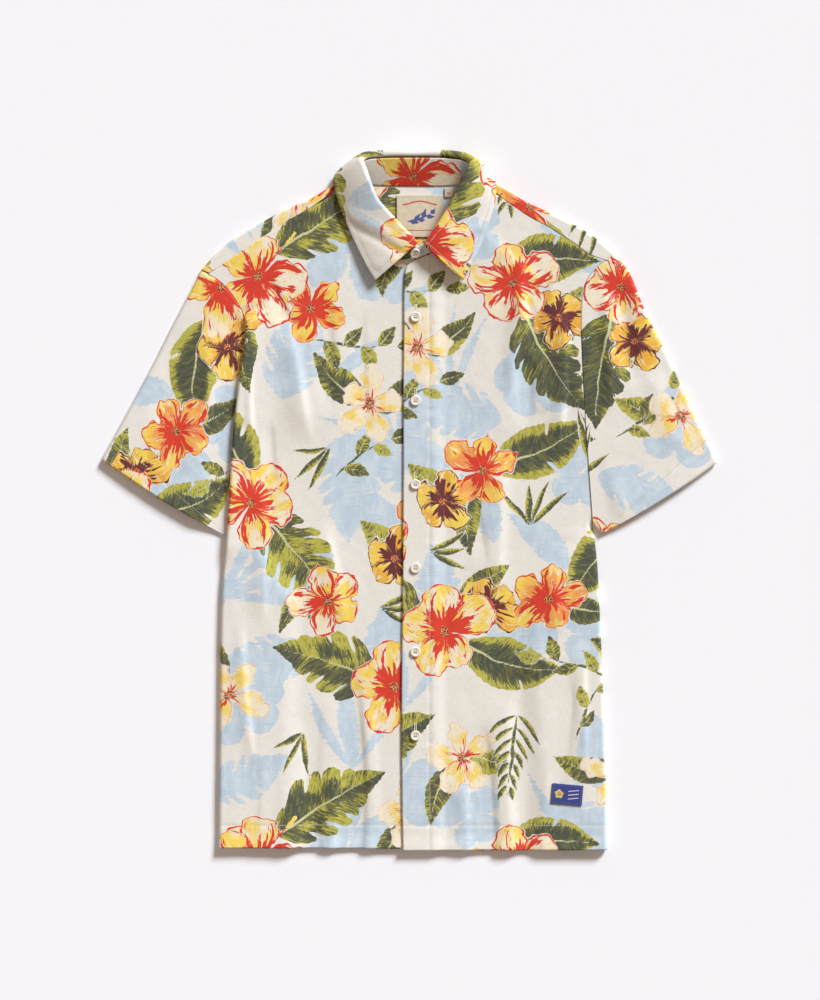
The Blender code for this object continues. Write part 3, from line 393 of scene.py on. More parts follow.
# One repeat of the print, composed for this cloth: (kind, layer, motifs) in mm and degrees,
# in the order they are printed. leaf: style x y angle length width bend. bloom: style x y
# size turn. sprig: x y angle length bend count leaf. blades: x y length angles. frond: x y
# angle length leaf. Every second column of repeats drops by half a repeat.
printRepeat = {
    "width": 400.0, "height": 640.0, "motifs": [
        ("bloom", "blue", [("shadow", 192, 396, 54, 12), ("shadow", 16, 236, 50, 0),
            ("shadow", 336, 196, 48, 30), ("shadow", 132, 52, 50, 22)]),
        ("leaf", "blue", [("split", 204, 206, -104, 130, 38, 16),
            ("split", 118, 236, 78, 118, 34, -20), ("split", 306, 150, 164, 112, 32, 12),
            ("split", 30, 446, 12, 108, 26, 20), ("split", 352, 366, -24, 104, 32, -16)]),
        ("bloom", "blue", [("shadow", 392, 92, 42, 10), ("shadow", 268, 356, 40, 40)]),
        ("leaf", "blue", [("split", 62, 36, 200, 96, 28, 14), ("oval", 176, 122, -22, 92, 20, 30),
            ("oval", 4, 150, -84, 118, 24, 30)]),
        ("bloom", "blue", [("shadow", 78, 548, 52, 20), ("shadow", 330, 560, 46, 44)]),
        ("leaf", "blue", [("split", 232, 540, 84, 116, 34, 16),
            ("split", 150, 600, 196, 110, 30, -18), ("oval", 376, 628, 120, 92, 18, 34)]),
        ("blades", "blue", [(196, 470, 108, 60, 84, 108, 132)]),
        ("leaf", "blue", [("oval", 296, 16, 96, 90, 16, 40), ("oval", 228, 300, 204, 96, 9, 50)]),
        ("blades", "blue", [(250, 176, 116, 74, 96, 120, 144), (54, 18, 104, 4, 24, 46, 68),
            (388, 322, 98, 58, 84, 108, 132)]),
        ("leaf", "leaf", [("split", 112, 396, 38, 142, 37, -14),
            ("curl", 62, 352, 202, 124, 29, 46), ("oval", 78, 326, 256, 84, 17, 34),
            ("split", 328, 272, -66, 132, 36, 16), ("curl", 304, 316, 22, 112, 27, -34),
            ("oval", 214, 232, 158, 86, 17, -44), ("oval", 220, 226, 16, 74, 15, 46),
            ("split", 98, 108, -46, 136, 37, -14), ("curl", 82, 142, 104, 126, 30, 56),
            ("oval", 36, 92, 198, 80, 15, -54), ("curl", 292, 102, 8, 126, 29, 34),
            ("oval", 272, 82, 252, 82, 16, 36), ("lime", 252, 74, 168, 60, 15, -40),
            ("oval", 258, 416, 222, 78, 15, 50), ("lime", 268, 424, -22, 54, 14, 20),
            ("oval", 152, 30, 214, 64, 12, 40), ("oval", 342, 262, 16, 66, 14, 40),
            ("split", 236, 560, 152, 138, 37, 18), ("curl", 262, 548, -36, 120, 28, 44),
            ("oval", 262, 580, 64, 78, 16, -38), ("oval", 58, 566, 112, 80, 16, 40),
            ("lime", 44, 540, 214, 58, 15, -30), ("oval", 366, 592, -26, 70, 15, 40)]),
        ("sprig", "leaf", [(18, 486, 66, 84, 30, 3, 29)]),
        ("blades", "leaf", [(152, 624, 54, 50, 78, 104), (142, 512, 50, 214, 240, 264)]),
        ("frond", "leaf", [(322, 468, -98, 90, 46)]),
        ("sprig", "leaf", [(150, 304, -18, 96, 26, 4, 32), (386, 440, 76, 80, -24, 3, 28),
            (24, 186, 148, 82, 30, 3, 30), (176, 150, 52, 76, -34, 3, 28)]),
        ("blades", "leaf", [(338, 36, 60, 52, 78, 104, 130), (170, 184, 50, 196, 222, 246),
            (8, 420, 62, 66, 92, 116), (226, 8, 48, -34, -8, 20)]),
        ("bloom", "bloom", [("gold", 56, 316, 36, 15), ("wild", 150, 336, 42, 40),
            ("red", 92, 372, 56, 8), ("cream", 262, 420, 43, 26), ("gold", 368, 264, 36, 50),
            ("red", 318, 300, 51, 30), ("cream", 214, 232, 41, 4), ("cream", 30, 84, 38, 34),
            ("red", 84, 122, 53, 52), ("gold", 242, 62, 35, 20), ("wild", 284, 96, 44, 14),
            ("red", 168, 14, 42, 34), ("gold", 290, 588, 36, 30), ("red", 242, 560, 55, 20),
            ("cream", 60, 552, 43, 50), ("wild", 356, 596, 41, 6)]),
    ],
}
# Where each piece is cut from the cloth: x and y in mm, and its turn in degrees.
clothCuts = {
    "back": (640, 1330, 0), "yoke": (1352, 84, 0), "front_right": (258, 126, 0),
    "front_left": (1004, 704, 0), "sleeve_left": (1490, 930, 40), "sleeve_right": (2110, 380, -38),
    "collar": (1720, 1500, 90), "collar_stand": (2488, 1296, 0),
}


def onCloth(places, cut):  # a piece's places, turned and moved to where it is cut
    x, y, turn = cut
    cos, sin = cosSin(turn)
    return places @ np.array([[cos, sin], [-sin, cos]]) + (x, y)


def blankPaint(places, wobble=1.0):  # fields at the cloth's places, wobbled as by hand
    x, y = places[:, 0], places[:, 1]
    shake = [wobble * (1.5 * softNoise(x, y, 19, seed) + 0.6 * softNoise(x, y, 7, seed + 2))
             for seed in (3, 4)]
    fields = {"x": x + shake[0], "y": y + shake[1], "blue": np.full(len(x), -30.0),
              "box": (places.min(0) - 3, places.max(0) + 3),
              "leaf": np.tile([-30.0, 0.3, -30.0], (len(x), 1)),
              "bloom": np.full((len(x), 4), -30.0)}
    for grain in ("leafGrain", "bloomGrain"):
        fields[grain] = np.zeros((len(x), 3))
    for ink in ("petal", "throat", "edge"):
        fields[ink] = np.ones((len(x), 4))
    return fields


def bentFrame(fields, spot, place, angle, bend, length):
    # Along and across a midrib: an arc from a place, at an angle, turning by bend. Last
    # comes the way past either end of it.
    turn = math.radians(bend if abs(bend) > 1 else 1.0)
    radius, side = length / abs(turn), math.copysign(1.0, turn)
    cos, sin = cosSin(angle)
    x, y = fields["x"][spot] - place[0], fields["y"][spot] - place[1]
    a, b = x * cos + y * sin, (y * cos - x * sin) * side
    along = np.arctan2(a, radius - b) * radius
    across = (radius - np.hypot(a, radius - b)) * side
    return along, across, np.maximum(np.maximum(-along, along - length), 0.0)


def halfWidth(t, widest):  # a sine up to the widest point, then a cosine down to the tip
    up = np.sin(np.pi / 2 * np.clip(t / widest, 0, 1)) ** 0.75
    down = np.cos(np.pi / 2 * np.clip((t - widest) / (1 - widest), 0, 1)) ** 1.15
    return np.where(t < widest, up, down)


def near(fields, place, reach):  # the points of a piece within reach of a place
    low, high = fields["box"]
    if np.any(np.array(place) + reach < low) or np.any(np.array(place) - reach > high):
        return np.zeros(0, int)
    return np.flatnonzero(np.hypot(fields["x"] - place[0], fields["y"] - place[1]) < reach)


def paintLeaf(fields, layer, style, x, y, angle, length, width, bend, seed):
    # Edge distance: the half width at t along the midrib, less the distance across it. Cuts
    # open along the veins towards the rim, and each lobe between them has its own tone.
    widest, teeth, cuts, lean, core, rim, vary = leafStyles[style]
    spot = near(fields, (x, y), length * 1.1 + width)
    if len(spot) == 0:
        return
    s, d, beyond = bentFrame(fields, spot, (x, y), angle, bend, length)
    t = s / length
    chevron = s - lean * np.abs(d)
    teeth = teeth * np.sin(chevron * 0.85 + 3 * softNoise(s, d, 14, seed + 9))
    uneven = 1 + 0.10 * softNoise(s, np.sign(d) * 30, 22, seed)
    half = width * halfWidth(t, widest) * uneven + teeth
    edge = half - np.abs(d) - beyond
    random = np.random.default_rng(seed)
    tone = core + (rim - core) * smoothStep((np.abs(d) / np.maximum(half, 1) - 0.35) / 0.6)
    lobe = np.zeros(len(s))
    for side in (-1, 1):
        here = d * side > 0
        spots = np.arange(cuts) + 0.7 + 0.22 * random.uniform(-1, 1, cuts)
        spots = length * 0.84 * spots / (cuts + 0.4)
        for at in spots:
            start = random.uniform(0.10, 0.30)
            gap = random.uniform(0.9, 2.6) * width / 34
            fan = smoothStep((np.abs(d) / width - start) / 0.5)
            cut = np.abs(chevron - at) * 0.85 - ((gap + 2.5) * fan - 2.5)
            edge = np.where(here, np.minimum(edge, cut), edge)
            lobe = lobe + np.where(here & (chevron > at), random.uniform(-0.5, 0.5), 0)
        if cuts > 2:  # each lobe's end is round
            ends = np.concatenate([[-0.15 * length], spots, [1.05 * length]])
            place = np.interp(chevron, ends, np.arange(len(ends)))
            rounded = 0.80 + 0.20 * np.sin(np.pi * (place % 1.0)) ** 0.7
            edge = np.where(here, np.minimum(edge, half * rounded - np.abs(d) - beyond), edge)
    tone = tone + 0.7 * vary * softNoise(s, d * 1.4, 16, seed + 40) + lobe * vary
    if style == "blade":
        tone = tone + 0.35 * np.tanh(d / max(width * 0.3, 1))
    if layer == "blue":
        fields["blue"][spot] = np.maximum(fields["blue"][spot], edge)
        return
    old = fields["leaf"][spot]
    old[:, 0] = np.minimum(old[:, 0], -edge - 1.1)
    take = (edge > 0) | (edge > old[:, 0])
    rib = (1.5 * (1 - t) + 0.15) * min(1.0, width / 14) - np.abs(d)
    rib = np.where((t > 0.03) & (t < 0.9), rib, -4.0)
    if style in ("blade", "stem"):
        rib = np.full(len(s), -4.0)
    old[take] = np.stack([edge, tone, rib], 1)[take]
    fields["leaf"][spot] = old
    grain = np.stack([chevron * 0.8, d, np.full(len(s), seed * 9.1)], 1)
    fields["leafGrain"][spot[take]] = grain[take]


def paintBloom(fields, style, x, y, size, turn, seed):
    # Each petal is a rounded blade: a sine out to its widest, then a round or pointed tip,
    # with a frilled end. The last one drawn lies on top, with a gap of ground beside it. The
    # throat's ink fades out along the petal and runs on in two strokes.
    outer, throatInk, edgeInk, reach, stroke, eye, slim, point = bloomStyles[style]
    widest, strokeAt = 0.62, 0.62
    random = np.random.default_rng(seed)
    for k in range(5):
        angle = turn + 72.0 * (k * 2 % 5) + random.uniform(-9, 9)
        length = size * random.uniform(0.82, 1.12)
        width = size * random.uniform(0.32, 0.43) * slim
        bend, share = random.uniform(-26, 26), random.uniform(0.0, 1.0)
        spot = near(fields, (x, y), length * 1.35)
        if len(spot) == 0:
            continue
        s, d, _ = bentFrame(fields, spot, (x, y), angle, bend, length)
        t = s / length
        half = width * np.where(t < widest, np.sin(np.pi / 2 * np.clip(t / widest, 0, 1)) ** 1.1,
                                np.clip(1 - ((t - widest) / (1 - widest)) ** 2, 0, 1) ** point)
        notch = random.uniform(-2.0, 8.0) * np.exp(-(((d - random.uniform(-4, 4)) / 4.5) ** 2))
        frill = (2.4 * np.sin(d * 0.36 + k) + 1.5 * np.sin(d * 0.9 + seed) + notch) * (t > 0.5)
        beyond = np.maximum(np.maximum(-s, s - length + frill), 0.0)
        gap = softNoise(s, d + 40 * k, 16, seed * 5)
        ruffle = 1.5 * np.sin(s * 0.5 + 2.1 * k) + 1.8 * softNoise(s, d, 6, seed + 60 + k)
        edge = half * (1 + 0.16 * softNoise(s, d * 0.2, 9, seed + k)) - np.abs(d) - beyond
        if style == "shadow":
            fields["blue"][spot] = np.maximum(fields["blue"][spot], edge)
            continue
        edge = edge + ruffle * smoothStep((t - 0.3) / 0.3)
        old = fields["bloom"][spot]
        fields["leaf"][spot, 0] = np.minimum(fields["leaf"][spot, 0], -edge - 1.0)
        fields["blue"][spot] = np.minimum(fields["blue"][spot], -edge - 1.0)
        old[:, 0] = np.minimum(old[:, 0], np.where(gap > 0.1, -edge - 0.5, 99.0))
        take = (edge > 0) | (edge > old[:, 0])
        tip = np.minimum(edge, (length - s) * 0.8)
        drift = softNoise(s, d * 1.5, 12, seed * 7 + k)
        throat = (reach + 0.12 * drift - t) * length
        out = np.abs(d) / np.maximum(half, 2.0)
        strokes = 7.0 * (0.8 - np.abs(out - strokeAt) / 0.14) - 60 * np.maximum(t - 0.72, 0)
        strokes = np.where(share > 0.35, strokes, -9.0)
        if style in ("red", "wild"):
            throat = np.maximum(throat, strokes)
        radius = np.hypot(fields["x"][spot] - x, fields["y"][spot] - y)
        shape = np.stack([edge, throat, stroke * (1 + 0.9 * drift) - tip, eye - radius], 1)
        old[take] = shape[take]
        fields["bloom"][spot] = old
        spread = d / np.maximum(half, 2.0) * width
        grain = np.stack([spread, s, np.full(len(s), seed * 3.3 + k * 5.7)], 1)
        fields["bloomGrain"][spot[take]] = grain[take]
        blend = smoothStep(share + 0.9 * drift + 0.35 * (t - 0.5))[:, None]
        other = "pale" if style in ("red", "cream") else "yellow"
        colour = np.array(inks[outer]) * (1 - blend) + np.array(inks[other]) * blend
        if style == "cream":
            warm = smoothStep((0.9 - np.abs(t - 0.45) * 3.4) + 0.7 * drift)[:, None] * 0.9
            colour = colour * (1 - warm) + np.array(inks["yellow"]) * warm
        fields["petal"][spot[take], :3] = colour[take]
        fields["throat"][spot[take], :3] = inks[throatInk]
        fields["edge"][spot[take], :3] = inks[edgeInk]
    if style == "red" and size > 54:  # the column of stamens stands out over a petal
        column = size * 1.1
        spot = near(fields, (x, y), size * 1.3)
        s, d, beyond = bentFrame(fields, spot, (x, y), turn + 36, 10, column)
        t = s / column
        edge = 1.0 + 1.7 * smoothStep((t - 0.72) / 0.1) - np.abs(d) - beyond
        take = edge > 0
        fields["bloom"][spot[take], 0] = np.maximum(fields["bloom"][spot[take], 0], edge[take])
        fields["bloom"][spot[take], 1] = np.where(t[take] < 0.74, 30.0, -30.0)
        fields["bloom"][spot[take], 2] = -9.0
        fields["petal"][spot[take], :3] = inks["yellow"]
        fields["throat"][spot[take], :3] = inks["red"]


def paintSprig(fields, layer, x, y, angle, length, bend, count, leaf, seed):
    # A thin stem with leaves set out along its arc, left and right by turns, and one ahead.
    random = np.random.default_rng(seed)
    paintLeaf(fields, layer, "stem", x, y, angle, length, 1.5, bend, seed)
    turn = math.radians(bend if abs(bend) > 1 else 1.0)
    radius = length / turn
    cos, sin = cosSin(angle)
    for k in range(count + 1):
        share = (k + 0.8) / (count + 0.8)
        theta = turn * share
        along, across = radius * math.sin(theta), radius * (1 - math.cos(theta))
        px, py = x + along * cos - across * sin, y + along * sin + across * cos
        heading = angle + bend * share
        side = 0 if k == count else (48 if k % 2 else -48) + random.uniform(-12, 12)
        size = leaf * random.uniform(0.85, 1.1)
        style = "lime" if (k + seed) % 3 == 0 else "oval"
        paintLeaf(fields, layer, style, px, py, heading + side, size, size * 0.24,
                  random.uniform(-40, 40), seed + k)


def paintBlades(fields, layer, x, y, angles, length, width, seed):
    # Narrow leaves that spread from one place.
    random = np.random.default_rng(seed)
    for k, angle in enumerate(angles):
        paintLeaf(fields, layer, "blade", x, y, angle, length * random.uniform(0.8, 1.1),
                  width * random.uniform(0.8, 1.15), random.uniform(-28, 28), seed + k)


def paintFrond(fields, layer, x, y, angle, length, leaf, seed):
    # A rib with pairs of long narrow leaflets that shorten towards the tip.
    count = max(4, round(length / 13))
    cos, sin = cosSin(angle)
    for k in range(count):
        share = k / count
        px, py = x + length * share * cos, y + length * share * sin
        size = leaf * (1 - 0.5 * share) * (0.75 + 0.25 * math.sin(math.pi * min(1, share * 2 + 0.3)))
        for side in (-1, 1):
            paintLeaf(fields, layer, "blade", px, py, angle + side * (62 - 26 * share), size, 2.7,
                      -side * 34, seed + 2 * k + side)
    paintLeaf(fields, layer, "stem", x, y, angle, length, 1.9, 0, seed)


def repeatPlaces(fields, reach):  # the corner of every repeat that reaches the piece
    width, height = printRepeat["width"], printRepeat["height"]
    lowX, highX = fields["x"].min() - reach, fields["x"].max() + reach
    lowY, highY = fields["y"].min() - reach, fields["y"].max() + reach
    for column in range(math.floor(lowX / width) - 1, math.ceil(highX / width) + 1):
        drop = (column % 2) * height / 2
        for row in range(math.floor((lowY - drop) / height) - 1, math.ceil(highY / height) + 1):
            yield column * width, row * height - drop


def paintAll(fields):  # each motif of the repeat in turn, in every repeat on the piece
    corners = list(repeatPlaces(fields, 10.0))
    seed = 3
    for kind, layer, motifs in printRepeat["motifs"]:
        for motif in motifs:
            for left, low in corners:
                paintMotif(fields, kind, layer, motif, left, low, seed)
            seed += 1


def paintMotif(fields, kind, layer, motif, left, low, seed):  # one motif, moved to its repeat
    if kind == "leaf":
        style, x, y, angle, length, width, bend = motif
        paintLeaf(fields, layer, style, x + left, y + low, angle, length, width, bend, seed)
    elif kind == "bloom":
        style, x, y, size, turn = motif
        paintBloom(fields, style, x + left, y + low, size, turn, seed)
    elif kind == "sprig":
        x, y, angle, length, bend, count, leaf = motif
        paintSprig(fields, layer, x + left, y + low, angle, length, bend, count, leaf, seed)
    elif kind == "blades":
        x, y, length, *angles = motif
        width = 3.2 if layer != "blue" else 6.0
        paintBlades(fields, layer, x + left, y + low, angles, length, width, seed)
    elif kind == "frond":
        x, y, angle, length, leaf = motif
        paintFrond(fields, layer, x + left, y + low, angle, length, leaf, seed)


def giveField(made, name, *columns):  # one field goes on the mesh as an attribute of its points
    values = np.column_stack(columns)
    if values.shape[1] == 2:
        values = np.column_stack([values, np.zeros(len(values))])
    wide = values.shape[1]
    kind, slot = {1: ("FLOAT", "value"), 3: ("FLOAT_VECTOR", "vector"),
                  4: ("FLOAT_COLOR", "color")}[wide]
    layer = made.data.attributes.new(name, kind, "POINT")
    layer.data.foreach_set(slot, values.astype(np.float32).ravel())


def boxOf(node):  # a node's lowest and highest corners, in millimetres
    return [np.array(corner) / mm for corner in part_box(node)]


def settle(made, node=None):  # rides on the shirt, and stands for a node if it is given
    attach(made, "root")
    if node:
        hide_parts(node)
    print(made.name, len(made.data.polygons), "faces")
    return made


class Nodes:  # a small bench for node trees: each call adds one node and returns its output
    def __init__(self, name):
        self.material = bpy.data.materials.new(name)
        self.material.use_nodes = True
        self.tree = self.material.node_tree
        self.shader = self.tree.nodes["Principled BSDF"]

    def feed(self, socket, source):  # links an output, or sets a plain value
        if isinstance(source, bpy.types.NodeSocket):
            self.tree.links.new(source, socket)
        elif isinstance(source, tuple) and len(source) == 3 and socket.type == "RGBA":
            socket.default_value = (*source, 1.0)
        else:
            socket.default_value = source

    def add(self, kind, inputs, output=0, **settings):  # its inputs by number or by name
        node = self.tree.nodes.new("ShaderNode" + kind)
        for name, value in settings.items():
            setattr(node, name, value)
        for socket, source in inputs.items():
            self.feed(node.inputs[socket], source)
        return node.outputs[output]

    def attribute(self, name, output="Vector"):  # a field of the piece's points
        return self.add("Attribute", {}, output, attribute_name=name)

    def places(self):  # where each point of the object is, in metres
        return self.add("TexCoord", {}, "Object")

    def math(self, how, *values):  # one sum, product or function of plain numbers
        return self.add("Math", dict(enumerate(values)), operation=how)

    def parts(self, colour):  # the first three numbers of a colour or a vector
        kind = "SeparateColor" if colour.type == "RGBA" else "SeparateXYZ"
        node = self.add(kind, {0: colour}).node
        return node.outputs[:3]

    def noise(self, vector, size, detail=2.0, rough=0.55):
        # size is a feature's length each way, in the vector's own unit.
        scaled = self.add("VectorMath", {0: vector, 1: tuple(1.0 / s for s in size)},
                          operation="MULTIPLY")
        return self.add("TexNoise", {"Vector": scaled, "Scale": 1.0, "Detail": detail,
                                     "Roughness": rough})

    def step(self, value, low, high):  # 0 below low, 1 above high, smooth between
        return self.add("MapRange", {0: value, 1: low, 2: high}, interpolation_type="SMOOTHSTEP")

    def speckle(self, vector, size, low, high, detail=2.0):  # noise cut to patches
        return self.step(self.noise(vector, size, detail), low, high)

    def plus(self, value, noise, amount):  # value + amount * (noise - 0.5)
        return self.math("ADD", value, self.math("MULTIPLY_ADD", noise, amount, -0.5 * amount))

    def mix(self, amount, first, second):  # first at 0, second at 1
        return self.add("Mix", {0: amount, 6: first, 7: second}, 2, data_type="RGBA")

    def faded(self, amount, share, first, second):  # mixed by a share of the amount
        return self.mix(self.math("MULTIPLY", amount, share), first, second)

    def finish(self, settings, height=None, strength=1.0, depth=0.0002):
        # The shader's own sockets by name, and a bump of the given depth in metres.
        if height is not None:
            settings["Normal"] = self.add("Bump", {"Strength": strength, "Distance": depth,
                                                   "Height": height})
        for name, value in settings.items():
            self.feed(self.shader.inputs[name], value)
        return self.material


def stitched(bench, colour, thread):  # dashes of thread along the seam lines, in a groove darkened with painted shade
    across, along, _ = bench.parts(bench.attribute("stitch"))
    onLine = bench.step(bench.math("ABSOLUTE", across), 0.42, 0.22)
    dash = bench.step(bench.math("SINE", bench.math("MULTIPLY", along, 2.3)), -0.5, -0.2)
    shows = bench.math("MULTIPLY", onLine, dash)
    colour = bench.faded(shows, 0.8, colour, thread)
    # Beside the dashes the groove is darkened towards brown: painted shade.
    nearSeam = bench.step(bench.math("ABSOLUTE", across), 1.1, 0.3)
    grooveShade = bench.math("MULTIPLY", nearSeam, bench.math("SUBTRACT", 1.0, shows))
    return bench.faded(grooveShade, 0.22, colour, rgb(120, 108, 92))


def wovenTrim(name, base, first, second, thread):  # satin-woven tape with two motif inks, and painted shade between its ribs
    bench = Nodes(name)
    place = bench.attribute("cloth")
    rib = bench.noise(place, (0.35, 4.0, 1.0), 2.0)
    colour = bench.mix(bench.speckle(place, (7.0, 7.0, 1.0), 0.3, 0.7), base,
                       tuple(c * 0.9 for c in base))
    one, two, _ = bench.parts(bench.attribute("motif"))
    grit = bench.noise(place, (0.7, 0.7, 1.0), 2.0)
    for field, ink in ((one, first), (two, second)):
        colour = bench.mix(bench.step(bench.plus(field, grit, 0.8), -0.1, 0.1), colour, ink)
    # The low places between the ribs are darkened: painted shade.
    colour = bench.faded(bench.step(rib, 0.6, 0.35), 0.16, colour, rgb(60, 52, 44))
    return bench.finish({"Base Color": stitched(bench, colour, thread), "Sheen Weight": 0.12,
                         "Roughness": bench.math("MULTIPLY_ADD", rib, 0.3, 0.5)}, rib, 0.4)


def buttonResin():  # ivory resin with faint swirls, shaded wells and pale thread
    bench = Nodes("ivory_resin")
    swirl = bench.noise(bench.places(), (0.006, 0.002, 0.004), 3.0, 0.6)
    colour = bench.mix(bench.step(swirl, 0.35, 0.7), rgb(237, 231, 217), rgb(227, 218, 199))
    well, thread, _ = bench.parts(bench.attribute("parts"))
    # The wells are darkened towards brown: painted shade in the holes.
    colour = bench.mix(bench.step(well, 0.35, 0.8), colour, rgb(190, 176, 150))
    twist = bench.speckle(bench.places(), (0.0004, 0.0004, 0.0004), 0.4, 0.6, 1.0)
    cord = bench.mix(twist, rgb(226, 219, 198), rgb(190, 180, 156))
    colour = bench.mix(thread, colour, cord)
    rough = bench.math("MULTIPLY_ADD", thread, 0.5, bench.math("MULTIPLY_ADD", swirl, 0.2, 0.2))
    return bench.finish({"Base Color": colour, "Roughness": rough, "Coat Weight": 0.25,
                         "Coat Roughness": 0.12}, swirl, 0.08)


def satinStitch():  # pale thread laid side by side across the slot of a buttonhole, with painted shade in the slot
    bench = Nodes("buttonhole_thread")
    strand = bench.noise(bench.attribute("cloth"), (4.0, 0.3, 1.0), 2.0)
    slot = bench.parts(bench.attribute("parts"))[0]
    colour = bench.mix(bench.step(strand, 0.35, 0.65), rgb(238, 231, 214), rgb(214, 204, 182))
    # The slot is darkened towards brown: painted shade in the slit.
    colour = bench.faded(slot, 0.6, colour, rgb(128, 110, 88))
    return bench.finish({"Base Color": colour, "Sheen Weight": 0.15,
                         "Roughness": bench.math("MULTIPLY_ADD", strand, 0.3, 0.4)}, strand, 0.6)


def printedCloth():  # cream ground, pale blue shapes, brushed leaves, streaky blooms, and painted shade in the weave's low places
    bench = Nodes("printed_rayon_cloth")
    cloth = bench.attribute("cloth")
    grit = bench.noise(cloth, (1.3, 1.3, 1.0), 3.0, 0.6)
    wash = bench.noise(cloth, (9.0, 24.0, 1.0), 3.0)

    brush = bench.noise(cloth, (22.0, 3.0, 1.0), 3.0, 0.6)
    ragged = bench.plus(bench.plus(bench.attribute("blue", "Fac"), grit, 2.4), brush, 9.0)
    blueMask = bench.step(ragged, -0.4, 0.9)
    blue = bench.mix(bench.step(wash, 0.35, 0.7), inks["blue"], rgb(212, 224, 231))
    blue = bench.mix(bench.step(brush, 0.52, 0.72), blue, rgb(189, 207, 222))
    colour = bench.mix(blueMask, inks["ground"], blue)

    edge, tone, rib = bench.parts(bench.attribute("leaf"))
    grain = bench.attribute("leafGrain")
    streak = bench.noise(grain, (1.0, 9.0, 1.0), 3.0, 0.65)
    patch = bench.noise(grain, (3.2, 12.0, 1.0), 2.0)
    dark = bench.mix(bench.step(patch, 0.45, 0.66), inks["dark"], inks["olive"])
    fleck = bench.noise(grain, (2.2, 5.0, 4.0), 2.0)
    depth = bench.plus(bench.plus(tone, streak, 2.2), patch, 0.9)
    lime = bench.step(depth, 0.46, 0.62)
    dark = bench.faded(bench.step(depth, 0.02, 0.34), 0.75, dark, inks["olive"])
    green = bench.mix(bench.step(fleck, 0.42, 0.62), inks["lime"], inks["olive"])
    green = bench.mix(bench.step(fleck, 0.50, 0.36), inks["yolk"], green)
    leaf = bench.mix(lime, dark, green)
    light = bench.speckle(grain, (0.7, 5.0, 2.0), 0.66, 0.72)
    leaf = bench.faded(light, 0.55, leaf, inks["rib"])
    leaf = bench.mix(bench.step(bench.plus(rib, grit, 2.6), -0.3, 0.3), leaf, inks["rib"])
    leafEdge = bench.plus(bench.plus(edge, grit, 1.8), streak, 1.6)
    colour = bench.mix(bench.step(leafEdge, -0.35, 0.35), colour, leaf)

    bloomEdge, throat, rim = bench.parts(bench.attribute("bloom", "Color"))
    eye = bench.attribute("bloom", "Alpha")
    grain = bench.attribute("bloomGrain")
    streak = bench.noise(grain, (1.6, 13.0, 1.0), 3.0, 0.6)
    broad = bench.noise(grain, (4.2, 24.0, 1.0), 2.0)
    petal = bench.mix(bench.speckle(grain, (2.0, 11.0, 3.0), 0.58, 0.66),
                      bench.attribute("petal", "Color"), inks["pale"])
    petal = bench.mix(bench.speckle(grain, (1.2, 9.0, 5.0), 0.64, 0.70), petal, inks["orange"])
    reach = bench.plus(bench.plus(throat, streak, 26.0), broad, 52.0)
    petal = bench.mix(bench.step(reach, -1.2, 1.2), petal, bench.attribute("throat", "Color"))
    stroke = bench.plus(bench.plus(rim, streak, 3.4), grit, 1.6)
    petal = bench.mix(bench.step(stroke, -0.3, 0.5), petal, bench.attribute("edge", "Color"))
    speck = bench.speckle(cloth, (1.7, 1.7, 1.0), 0.45, 0.58, 1.0)
    middle = bench.mix(speck, inks["maroon"], inks["orange"])
    petal = bench.mix(bench.step(bench.plus(eye, grit, 6.0), -0.5, 0.5), petal, middle)
    bloomLine = bench.plus(bench.plus(bloomEdge, grit, 1.6), streak, 1.4)
    colour = bench.mix(bench.step(bloomLine, -0.35, 0.35), colour, petal)

    colour = stitched(bench, colour, rgb(232, 226, 208))
    # Where the weave's noise is low the cloth is darkened towards brown grey: painted shade in the
    # weave's hollows. The same noise gives the bump.
    weave = bench.math("ADD", bench.noise(cloth, (0.55, 9.0, 1.0), 2.0),
                       bench.noise(cloth, (9.0, 0.55, 1.0), 2.0))
    shade = bench.step(weave, 0.55, 1.45)
    colour = bench.mix(bench.math("MULTIPLY_ADD", shade, -0.20, 0.21), colour, rgb(120, 110, 95))
    rough = bench.math("MULTIPLY_ADD", shade, -0.10, 0.86)
    return bench.finish({"Base Color": colour, "Roughness": rough, "Sheen Weight": 0.08,
                         "Specular IOR Level": 0.3}, weave, 0.35, 0.0003)


def armholeRows(side):  # the front's rows from the underarm up, and the yoke's last one
    front = frontOf(side)
    return front["rows"][front["underarm"]:], yokeCut["rows"][-1 if side > 0 else 0]


def armhole(side):  # the armhole in plan, underarm to shoulder
    rows, tip = armholeRows(side)
    points = []
    for row in rows:
        inward = row[4] if row[6] == 1 else -1.2 * (row[6] == 0.5)
        points.append((row[2] - side * inward, row[3]))
    points = np.array(points + [(tip[2], tip[3])], float)
    return fineRows(points, points, sleeves["step"], 5)


def backArmhole(side, count):  # the back's and the yoke's edge, at as many points
    rows, tip = armholeRows(side)
    low = [(row[2] - side * (row[4] if row[6] == 1 else 0), row[3]) for row in rows
           if row[3] < yokeCut["seam"] - 6]
    points = np.array(low + [(tip[0], tip[1]), (tip[2], tip[3])], float)
    return evenly(points, np.linspace(0, 1, count))


def shares(points):  # how far along a run each point is, 0 to 1
    run = runLength(points)
    return run / run[-1]


def evenly(points, wanted):  # points at the wanted shares of a run's length
    at = shares(points)
    return np.stack([np.interp(wanted, at, column) for column in points.T], 1)


def clothName(node):  # front_left becomes frontLeftCloth
    first, *others = node.split("_")
    return first + "".join(word.title() for word in others) + "Cloth"


